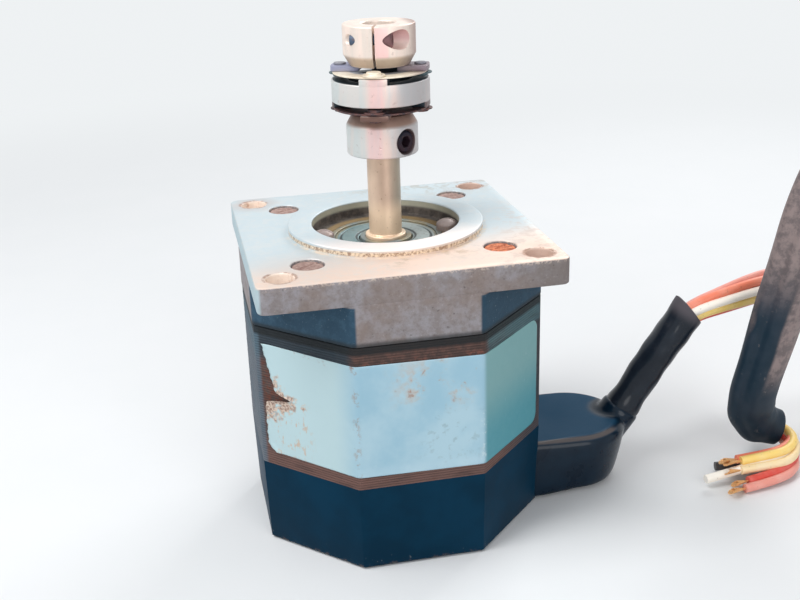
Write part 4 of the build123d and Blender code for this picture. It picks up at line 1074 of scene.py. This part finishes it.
# Cut ends of the wires in metres: all start inside the sleeve and curl round from its mouth to the floor.
inside_sleeve = (0.0786, -0.0066, 0.0104)
CUT_ENDS = {
    "white": [(0.0852, -0.0046, 0.0060), (0.0882, -0.0068, 0.0050), (0.0876, -0.0112, 0.0044),
              (0.0828, -0.0150, 0.0040), (0.0736, -0.0160, 0.0032), (0.0636, -0.0168, 0.0022)],
    "black": [(0.0850, -0.0048, 0.0046), (0.0874, -0.0064, 0.0030), (0.0868, -0.0096, 0.0020),
              (0.0826, -0.0122, 0.0016), (0.0756, -0.0118, 0.0014), (0.0689, -0.0106, 0.0012)],
    "cream": [(0.0854, -0.0054, 0.0062), (0.0880, -0.0078, 0.0050), (0.0874, -0.0122, 0.0040),
              (0.0832, -0.0166, 0.0036), (0.0772, -0.0170, 0.0035), (0.0716, -0.0168, 0.0032)],
    "yellow": [(0.0850, -0.0050, 0.0066), (0.0878, -0.0070, 0.0058), (0.0872, -0.0112, 0.0054),
               (0.0834, -0.0148, 0.0052), (0.0780, -0.0154, 0.0050), (0.0722, -0.0154, 0.0046)],
    "red": [(0.0852, -0.0052, 0.0056), (0.0876, -0.0082, 0.0038), (0.0868, -0.0130, 0.0027),
            (0.0832, -0.0164, 0.0024), (0.0778, -0.0184, 0.0022), (0.0722, -0.0190, 0.0018)],
    "pink": [(0.0850, -0.0050, 0.0060), (0.0874, -0.0080, 0.0026), (0.0866, -0.0134, 0.0016),
             (0.0832, -0.0178, 0.0015), (0.0772, -0.0200, 0.0014), (0.0706, -0.0208, 0.0012)],
    "orange": [(0.0850, -0.0048, 0.0064), (0.0882, -0.0062, 0.0054), (0.0874, -0.0102, 0.0052),
               (0.0830, -0.0134, 0.0048), (0.0776, -0.0140, 0.0045), (0.0720, -0.0139, 0.0042)],
}
cut_diameter = 1.9 * MM


def cut_end(colour, points):
    """One loose wire end, a curve object of its own."""
    points = [inside_sleeve, *points]
    made = spline(f"cut_wire_{colour}", points, diameter=cut_diameter)
    made.data.materials.append(WIRES[colour])
    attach(made, "motor_body")
    line = line_points(points)
    return line


def bare_strands(line, number):
    """Fine copper strands that stick out of a cut end and fan apart."""
    tip, run = line[-1] / MM, (line[-1] - line[-4]) / MM
    run /= np.linalg.norm(run)
    strands = []
    count, radius = 11, 0.18
    for strand in range(count):
        angle = strand * 2 * pi / count + number
        spread = np.array([0.30 * cos(angle), 0.62 * cos(angle + 1), 0.34 * sin(angle) + 0.08])
        t = np.linspace(-0.4, 3.3, 8)[:, None]
        centre = tip + run * t + spread * np.clip(t, 0, None) * 0.8
        centre[:, 2] = np.maximum(centre[:, 2], 0.15)
        strands.append(tube_along(centre, radius, radius, segments=6, reference=(0, 0.3, 1)))
    return joined(strands)


bare = []
for number, (colour, points) in enumerate(CUT_ENDS.items()):
    end_line = cut_end(colour, points)
    if colour not in ("white", "black"):
        bare.append(bare_strands(end_line, number))
piece("bare_copper_strands", joined(bare), BARE_COPPER, "motor_body", smooth=60)

# ================================================================ shrink tube and boot
def shrink_tube():
    """Shrink tube on the leads: radius against length, puckered near its foot, with a slanted open mouth."""
    share = np.linspace(0, 1, 110)
    line = lead_root + lead_direction * (tube_length * share)[:, None]
    pucker = 0.30 * np.exp(-(((share - 0.13) / 0.05) ** 2)) - 0.20 * np.exp(-(((share - 0.24) / 0.05) ** 2))
    outside = tube_radius + pucker + 0.06 * np.sin(34 * share) + 0.15 * share**3
    inside = np.full_like(outside, tube_radius - tube_wall)
    folded = slice(None, -61, -1)
    radius = np.concatenate([outside, [tube_radius - tube_wall / 2], inside[folded]])
    centre = np.concatenate([line, [line[-1] + lead_direction * 0.12], line[folded]])
    place = np.concatenate([share, [1], share[folded]])[:, None]
    side, up = np.array([0, 1.0, 0]), np.cross(lead_direction, [0, 1.0, 0])
    angle = np.arange(48) * 2 * pi / 48
    lobes = np.minimum(1 + 0.035 * np.sin(3 * angle + 9 * place), 1.02)
    ring = np.cos(angle)[:, None] * side + np.sin(angle)[:, None] * up
    slant = 1.2 * np.sin(angle) * np.clip((place - 0.8) / 0.2, 0, 1) ** 2
    rings = centre[:, None] + (radius[:, None] * lobes)[..., None] * ring + slant[..., None] * lead_direction
    return loft(rings)


def boot():
    """Moulded boot: a nose-shaped block with soft edges and a collar, melted into one skin."""
    low, high, back = 0.62, 12.98, 26.2
    arc = np.linspace(-pi / 2, pi / 2, 40)
    nose = np.stack([nose_centre + nose_radius * np.cos(arc), nose_radius * np.sin(arc)], -1)
    outline = np.concatenate([[(back, -nose_radius)], nose, [(back, nose_radius)]])
    # a foot that is drawn in only a little, and a wide round edge above
    foot, brow = edged(low, high, 2.2, 8)[:8] * [0.3, 1], edged(low, high, 2.4, 10)[10:]
    profile = np.concatenate([foot, brow])
    block = walled(outline, profile)
    cone = turned([(0, -7), (4.9, -7), (4.35, 0.5), (4.2, 3.2), (3.2, 3.3), (0, 3.3)], 48, False, 0.6)
    collar = aimed(cone, lead_root, lead_direction)
    body = bpy.data.objects.new("boot", joined([block, collar]))
    scene.collection.objects.link(body)
    remesh = body.modifiers.new("melt", "REMESH")
    remesh.mode = "VOXEL"
    remesh.voxel_size = 0.38 * MM
    remesh.use_smooth_shade = True
    smooth = body.modifiers.new("soften", "SMOOTH")
    smooth.factor = 0.6
    smooth.iterations = 10
    mesh = evaluated(body)
    bpy.data.objects.remove(body)
    points = np.empty(len(mesh.vertices) * 3)
    mesh.vertices.foreach_get("co", points)
    points = points.reshape(-1, 3) / MM
    x, y, z = points.T
    # the top sags behind the nose's rim by a bell-shaped dip
    z -= 0.5 * np.exp(-(((x - 33) / 6) ** 2 + (y / 7) ** 2)) * (z > 8)
    # and the nose draws in towards its foot: x and |y| shrink by a share that grows downwards
    drawn = 0.20 * np.clip((11.0 - z) / 11.0, 0, 1) ** 1.3 * np.clip((x - 30) / 8, 0, 1)
    x -= drawn * np.maximum(x - nose_centre, 0)
    y *= 1 - 0.45 * drawn
    mesh.vertices.foreach_set("co", (np.stack([x, y, z], -1) * MM).ravel())
    return mesh


piece("shrink_tube", shrink_tube(), SLEEVING, "motor_body", ["lead_tube"], smooth=50)
piece("lead_boot_skin", boot(), RUBBER, "motor_body", ["lead_boot"], smooth=60)


# ================================================================ housing
def at_corners(*parts):
    """Copies of meshes towards the four corners; each part is a mesh and its offset along X and Y."""
    corners = [(x, y, 0) for x in (-1, 1) for y in (-1, 1)]
    return [placed(mesh, Vector(corner) * offset) for corner in corners for mesh, offset in parts]


def front_casting():
    """Flange, octagonal neck and pilot of the front bell: two walled outlines and a turned ring.

    The flange's opening, bolt holes and screw wells are cut out of it.
    """
    half = half_width
    square = rounded([(half, -half), (half, half), (-half, half), (-half, -half)], radius=1.9, steps=6)
    flange = walled(square, edged(flange_bottom, mounting_face, 0.35))
    opening = rod(16, 40, 70, 64)
    bolt = hole(bolt_radius, mounting_face, flange_bottom - 1, edge=0.25)
    well = hole(screw_well_radius, mounting_face, screw_top - screw_head_height, edge=0.2)
    plate = cut(flange, [opening] + at_corners((bolt, bolt_place), (well, screw_place)))
    neck = walled(octagon(2 * half, bell_flat, 0.9), edged(stack_top, flange_bottom + 0.4, 0.45))
    pilot = turned(
        [
            (seat_radius, bearing_back), (seat_radius, bearing_face), (recess_radius, bearing_face),
            (recess_radius, pilot_top), (pilot_radius, pilot_top), (pilot_radius, mounting_face - 0.6),
            (17.2, bearing_back),
        ],
        144, radius=0.28,
    )
    return joined([plate, neck, pilot])


def rear_casting():
    """The rear bell's own form."""
    return tidied(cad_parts["rear_bell"].data.copy())


def slotted_head(radius, top, bottom, slot, depth, dome, turn):
    """Screw head: height top - dome (r/R)^2, less a slot's depth where |across| < slot / 2."""
    share = np.concatenate([np.linspace(0, 0.92, 30), [0.96, 0.99, 1.0]])
    angle = np.arange(72) * 2 * pi / 72
    r = share[:, None] * radius
    x, y = r * np.cos(angle), r * np.sin(angle)
    across = np.abs(-x * sin(turn) + y * cos(turn))
    groove = depth * np.clip((slot / 2 + 0.04 - across) / 0.08, 0, 1)
    edge = 0.25 * np.clip((share[:, None] - 0.92) / 0.08, 0, 1) ** 2
    z = top - dome * share[:, None] ** 2 - edge - groove
    crown = np.stack([x, y, z], -1)
    wall = np.stack([x[-1], y[-1], np.full_like(x[-1], bottom)], -1)[None]
    return loft(np.concatenate([crown, wall]))


def housing_screws():
    """Four long screws: a slotted head in its well, and a shank down to the rear bell."""
    seat = screw_top - screw_head_height
    head = slotted_head(
        screw_head_radius, screw_top + 0.5, seat, slot=0.7, depth=0.16, dome=0.10, turn=radians(35)
    )
    shank = rod(screw_shank_radius, screw_low, seat + 0.1, 32, edge=0.2)
    return joined(at_corners((joined([head, shank]), screw_place)))


def retainer_screws():
    """Two round-headed screws beside the bearing."""
    low, high = span("bearing_clamp_screws")
    head = slotted_head(
        retainer_radius, high + 0.45, bearing_face, slot=0.45, depth=0.35, dome=0.85, turn=radians(-20)
    )
    screw = joined([head, rod(retainer_shank_radius, low, bearing_face + 0.2, 24)])
    return joined([placed(screw, (side * retainer_place, 0, 0)) for side in (-1, 1)])


def sheet_edges():
    """Edges of the stacked sheets: an octagon whose outset steps in and out from sheet to sheet."""
    number = np.arange(int(round((stack_top - stack_bottom) / sheet_thickness)))
    step = 0.02 + 0.012 * np.sin(number * 2.4) + 0.008 * np.sin(number * 5.1 + 1)
    level = stack_bottom + number * sheet_thickness
    corners = [(step - 0.05, level), (step, level + 0.08), (step, level + sheet_thickness - 0.08)]
    profile = np.stack([np.stack(corner, -1) for corner in corners], 1).reshape(-1, 2)
    return walled(octagon(2 * half_width - 0.26, bell_flat, 0.8), profile)


def label():
    """Blank foil bent round three faces: across the sheet s runs along the octagon, h up it.

    The left edge follows a torn line and the other corners are rounded off.
    """
    out, low, high = half_width - 0.06, 20.5, 42.9
    fold, steps = bell_flat / 2, 7
    # the slanted faces lie on |x| - y = slant, and the label ends at an |x| of end on them
    slant, end, past_end = 28.36 * 2**0.5, 26.85, 28.0
    corners = [(-past_end, past_end - slant), (-fold, -out), (fold, -out), (past_end, past_end - slant)]
    folds = rounded(corners, 0.6, steps)[steps:-steps]
    path = np.concatenate([[(-end, end - slant)], folds, [(end, end - slant)]])
    run = np.concatenate([[0], np.cumsum(np.linalg.norm(np.diff(path, axis=0), axis=1))])
    h = np.linspace(0, 1, 110)[:, None]
    height = high - low
    torn_h = [0.0, 0.04, 0.09, 0.25, 0.45, 0.475, 0.50, 0.52, 0.535, 0.555, 0.58, 0.75, 1.0]
    torn_s = [1.9, 0.7, 0.15, 0.10, 0.10, 0.5, 2.6, 5.6, 6.2, 4.2, 2.7, 1.6, 0.1]
    up_edge, corner = h[:, 0], 2.2
    left = np.interp(up_edge, torn_h, torn_s) + 0.10 * np.sin(60 * up_edge) + 0.07 * np.sin(131 * up_edge)
    from_end = np.minimum(up_edge, 1 - up_edge) * height
    right = run[-1] - (corner - np.sqrt(np.maximum(corner**2 - np.maximum(corner - from_end, 0) ** 2, 0)))
    s = left[:, None] + (right - left)[:, None] * np.linspace(0, 1, 170)[None]
    x, y = np.interp(s, run, path[:, 0]), np.interp(s, run, path[:, 1])
    droop = 1.0
    z = low + h * height - droop * (s / run[-1])
    # it waves a little on the slanted faces and lifts off them along its torn edge
    on_slant = np.clip((np.abs(x) - fold) / 1.5, 0, 1)
    lift = 0.03 + 0.03 * np.sin(s / 3) * np.sin(5 * h) + 0.22 * np.exp(-(((s - left[:, None]) / 1.0) ** 2))
    grid = np.stack([x, y, z], -1)
    grid[..., :2] += np.stack([np.sign(x), -np.ones_like(x)], -1) / 2 ** 0.5 * (lift * on_slant)[..., None]
    return sheet_grid(grid)


piece("front_bell_casting", front_casting(), CAST, "motor_body", ["front_bell"])
rear = piece("rear_bell_casting", rear_casting(), ENAMEL, "motor_body", ["rear_bell"])
bevel = rear.modifiers.new("rounded_edges", "BEVEL")
bevel.width = 0.5 * MM
bevel.segments = 3
bevel.limit_method = "ANGLE"
bevel.angle_limit = radians(25)
piece("housing_screw_set", housing_screws(), SCREW, "motor_body", ["housing_screws"], 50)
piece("retainer_screws", retainer_screws(), DOME, "motor_body", ["bearing_clamp_screws"], 50)
piece("sheet_edges", sheet_edges(), SHEETS, "motor_body", smooth=20)
foil_label = piece("blank_label", label(), FOIL, "motor_body", smooth=60)
thick = foil_label.modifiers.new("foil", "SOLIDIFY")
thick.thickness = 0.06 * MM
thick.offset = 0


# ================================================================ front bearing and shaft
def front_bearing():
    """Outer race, pressed shield with two rolled grooves and inner race of the front bearing."""
    low, high = bearing_back, bearing_face
    outer = turned(
        [
            (11, low), (11, high), (10.0, high), (10.0, high - 0.65),
            (9.25, high - 0.65), (9.25, low + 0.65), (10.0, low + 0.65), (10.0, low),
        ],
        128, radius=0.2,
    )
    inner = turned(
        [
            (4, low), (4, high), (5.05, high), (5.05, high - 0.9),
            (6.05, high - 0.9), (6.05, low + 0.9), (5.05, low + 0.9), (5.05, low),
        ],
        96, radius=0.15,
    )
    plate = [
        (9.97, high - 0.62), (9.97, high - 0.30), (9.25, high - 0.30), (9.05, high - 0.52),
        (8.75, high - 0.52), (8.55, high - 0.16), (6.1, high - 0.16), (5.9, high - 0.34),
        (5.55, high - 0.34), (5.3, high - 0.46), (5.3, high - 0.62),
    ]
    front = turned(plate, 128, radius=0.08)
    rear_side = turned([(r, low + high - z) for r, z in plate], 96, radius=0.08)
    return outer, inner, joined([front, rear_side])


def shaft():
    """Ground shaft: journals, thick middle, output end with a chamfered tip."""
    low, high = span("shaft")
    rear_top = span("rear_bearing_outer_race")[1]
    return turned(
        [
            (0, low), (journal_radius, low), (journal_radius, rear_top), (middle_radius, rear_top),
            (middle_radius, bearing_back), (journal_radius, bearing_back), (journal_radius, shaft_step),
            (shaft_radius, shaft_step), (shaft_radius, high), (0, high),
        ],
        96, False, 0.3,
    )


outer_race, inner_race, shields = front_bearing()
piece("front_outer_race", outer_race, RACE, "motor_body", ["front_bearing_outer_race"])
piece("front_inner_race", inner_race, RACE, "rotor", ["front_bearing_inner_race"])
piece("front_shields", shields, PRESSED, "motor_body", ["front_bearing_shields"])
piece("turned_shaft", shaft(), SHAFT, "rotor", ["shaft"])

# ================================================================ shaft coupling
lug = np.array([cos(lug_turn), sin(lug_turn), 0.0])
cross = np.array([-sin(lug_turn), cos(lug_turn), 0.0])
up, down = np.array([0, 0, 1.0]), np.array([0, 0, -1.0])


def opposite(mesh, seat, axis, along):
    """Two copies of a mesh on opposite lugs at one level, their own Z along an axis."""
    return joined([aimed(mesh.copy(), along * (side * rivet_place) + up * seat, axis) for side in (-1, 1)])


def ears(inside, low, high, along):
    """Two lugs across a ring or hub: strips of a width, cut off by the circle of the lugs."""
    half = lug_width / 2
    reach = np.arcsin(half / lug_radius)
    arc = np.linspace(-reach, reach, 12)
    end = np.stack([lug_radius * np.cos(arc), lug_radius * np.sin(arc)], -1)
    outline = rounded(np.concatenate([end, [(inside, half), (inside, -half)]]), 0.12, 3)
    ear = walled(outline, edged(low, high, 0.12, 3))
    return joined([aimed(ear.copy(), (0, 0, 0), up, np.cross(up, along) * side * -1) for side in (-1, 1)])


def hub():
    """Barrel and cone of a hub with its bore, standing on its outer end."""
    top = hub_length + cone_length
    profile = [
        (shaft_radius + 0.25, 0), (hub_radius - 0.2, 0), (hub_radius, 0.2), (hub_radius, hub_length),
        (neck_radius, top), (shaft_radius, top), (shaft_radius, 0.25),
    ]
    return turned(profile, 144, radius=0.1)


def lower_hub():
    """Hub on the motor's shaft, with the countersunk hole of its set screw and two small dents."""
    level = hub_low + hub_length / 2
    axis = (cos(set_screw_turn), sin(set_screw_turn), 0)
    countersunk = turned([(0, 1), (2.03, 1), (2.03, 5.9), (2.6, 6.8), (2.6, 9), (0, 9)], 40, False)
    tools = [aimed(countersunk, (0, 0, level), axis)]
    dent_turn = radians(-105)
    side = (cos(dent_turn), sin(dent_turn), 0)
    for place, size in ((3.9, 0.20), (2.1, 0.30)):
        dent = turned([(0, 6.55), (size, 6.85), (size, 7.2), (0, 7.2)], 16, False)
        tools.append(aimed(dent, (0, 0, hub_low + place), side))
    barrel = cut(placed(hub(), (0, 0, hub_low)), tools)
    return joined([barrel, ears(lug_inside, hub_high - lug_height, hub_high, lug)]), level, axis


def socket_screw(radius, length, socket, depth, edge):
    """Screw end with a hexagon socket: rings from the socket's floor out to the round edge.

    A hexagon's ring has radius apothem / cos(a mod 60 - 30) at angle a.
    """
    angle = np.arange(72) * 2 * pi / 72
    hexagon = socket / 2 / np.cos((angle % (pi / 3)) - pi / 6)
    circle = np.ones_like(angle)
    rings = [
        (0.001 * circle, length - depth), (hexagon, length - depth), (hexagon, length - 0.1),
        (hexagon + 0.1, length), ((radius - edge) * circle, length), (radius * circle, length - edge),
        (radius * circle, 0), (0.001 * circle, 0),
    ]
    points = [np.stack([r * np.cos(angle), r * np.sin(angle), np.full_like(angle, z)], -1) for r, z in rings]
    return loft(points)


def rivet():
    """Rivet over a disc: washer, rounded head and the formed end on the other side."""
    gap, thickness = 0.05, 0.3
    washer_low = gap * 2 + thickness
    top = washer_low + 0.3
    profile = [
        (0, -0.8), (0.8, -0.8), (0.8, washer_low), (2.1, washer_low), (2.1, top), (1.35, top),
        (1.35, top + 0.45), (0, top + 0.45),
    ]
    return turned(profile, 40, False, 0.12)


def rivets(seat, axis, along):
    """Two rivets at one level."""
    return opposite(rivet(), seat, axis, along)


def formed_ends(seat, axis, along):
    """The flattened ends of a hub's rivets behind its lugs."""
    return opposite(rod(1.15, 0, 0.35, 32, 0.1), seat, axis, along)


def disc(node):
    """One thin steel disc with its bore."""
    low, high = span(node)
    corners = [(disc_bore, low), (disc_bore, high), (disc_radius, high), (disc_radius, low)]
    return turned(corners, 128, radius=0.08)


def middle_ring():
    """Ring between the discs, with two lugs above and two below, a quarter turn apart."""
    low, high = ring_low + 1.1, ring_high - 1.1
    ring = turned([(6, low), (6, high), (lug_radius, high), (lug_radius, low)], 144, radius=0.22)
    return joined([ring, ears(6.1, high - 0.4, ring_high, lug), ears(6.1, ring_low, low + 0.4, cross)])


def clamp_hub():
    """Upper hub: slit to its bore, sunk seat for the clamp screw and the hole that it runs in."""
    barrel = hub()
    barrel.transform(Matrix.Translation(Vector((0, 0, clamp_high)) * MM) @ Matrix.Rotation(pi, 4, "X"))
    point = lug * clamp_screw_offset + up * clamp_screw_level
    half_slit = 0.24
    gap = rounded([(0, -half_slit), (9, -half_slit), (9, half_slit), (0, half_slit)], 0.02, 2)
    slit = aimed(walled(gap, [(0, clamp_low - 1), (0, clamp_high + 1)]), (0, 0, 0), up, cross)
    bore = aimed(rod(1.03, -9, 9, 32), point, cross)
    seat = aimed(rod(1.8, clamp_seat, 9, 48, 0.1), point, cross)
    ear_pair = ears(lug_inside, clamp_low, clamp_low + lug_height, cross)
    return joined([cut(barrel, [slit, bore, seat]), ear_pair]), point


lower, set_level, set_axis = lower_hub()
piece("shaft_hub_turned", lower, COUPLING, "rotor", ["shaft_hub"])
set_screw_foot = np.array(set_axis) * set_screw_place + up * set_level
set_screw = socket_screw(radius=2.0, length=3.2, socket=2.0, depth=1.9, edge=0.25)
set_screw = aimed(set_screw, set_screw_foot, set_axis)
piece("set_screw_black", set_screw, BLACK_STEEL, "rotor", ["set_screw"])
lower_rivets = joined([rivets(hub_high, up, lug), formed_ends(hub_high - lug_height, down, lug)])
piece("lower_hub_rivet_pair", lower_rivets, SPRING, "rotor", ["lower_hub_rivets"])
piece("lower_spring_disc", disc("lower_disc"), SPRING, "lower_disc", ["lower_disc"])
piece("middle_ring", middle_ring(), COUPLING, "coupling_ring", ["coupling_ring"])
ring_set = joined([rivets(ring_high, up, lug), rivets(ring_low, down, cross)])
piece("ring_rivet_set", ring_set, SPRING, "coupling_ring", ["ring_rivets"])
piece("upper_spring_disc", disc("upper_disc"), SPRING, "upper_disc", ["upper_disc"])
upper_rivets = joined([rivets(clamp_low, down, cross), formed_ends(clamp_low + lug_height, up, cross)])
piece("upper_hub_rivet_pair", upper_rivets, SPRING, "clamp_hub", ["upper_hub_rivets"])
upper, clamp_point = clamp_hub()
piece("clamp_hub_turned", upper, COUPLING, "clamp_hub", ["clamp_hub"])
clamp_head = socket_screw(radius=1.6, length=1.7, socket=1.7, depth=1.0, edge=0.3)
clamp_head = aimed(clamp_head, clamp_point + cross * clamp_seat, cross)
clamp_shank = aimed(rod(1, -4.6, clamp_seat + 0.1, 24, 0.2), clamp_point, cross)
piece("clamp_screw_head", clamp_head, CLAMP_STEEL, "clamp_hub", ["clamp_screw"])
piece("clamp_screw_shank", clamp_shank, DARK_STEEL, "clamp_hub")

# ================================================================ floor and light
BACKDROP = (0.86, 0.885, 0.90, 1.0)


def pale_floor():
    """Pale matt floor that keeps the object's shadow and fades into the backdrop's tone far from it."""
    finish = Finish("floor", roughness=0.8, specular_ior_level=0.2)
    x, y = finish.axes()[:2]
    cloth = finish.noise(30, detail=3)
    finish.paint(finish.mix(cloth, (0.90, 0.91, 0.915), (0.92, 0.925, 0.93)))
    far = distance(x - 30, y).rise(150, 480)
    glow = finish.node("ShaderNodeEmission", {}, {"Color": BACKDROP, "Strength": 1.0})
    finish.show("Material Output", far * finish.seen(), finish.shader, glow)
    return finish.material


floor_ends = (-1500, 1500)
floor_mesh = sheet_grid([[(x, y, 0) for y in floor_ends] for x in floor_ends])
floor = bpy.data.objects.new("floor", floor_mesh)
scene.collection.objects.link(floor)
floor_mesh.materials.append(pale_floor())

world = bpy.data.worlds.new("studio")
scene.world = world
sky = Tree(world)
background = sky.nodes["Background"]
background.inputs["Color"].default_value = (0.95, 0.97, 1.0, 1)
background.inputs["Strength"].default_value = 0.42
backdrop = sky.node("ShaderNodeBackground", {}, {"Color": BACKDROP})
sky.show("World Output", sky.seen(), background, backdrop)


def softbox(name, place, target, size, power):
    """A square area lamp aimed at a point, all in millimetres but for its power in watts."""
    lamp = bpy.data.lights.new(name, "AREA")
    lamp.size = size * MM
    lamp.energy = power
    made = bpy.data.objects.new(name, lamp)
    made.location = Vector(place) * MM
    made.rotation_mode = "QUATERNION"
    made.rotation_quaternion = (Vector(target) - Vector(place)).to_track_quat("-Z", "Y")
    scene.collection.objects.link(made)
    return made


softbox("key", (-300, -80, 520), (10, 0, 40), 300, 2.3)
softbox("fill", (120, -520, 240), (20, 0, 40), 320, 0.95)
softbox("rim", (300, 320, 360), (20, 0, 40), 240, 1.0)

scene.view_settings.view_transform = "Standard"
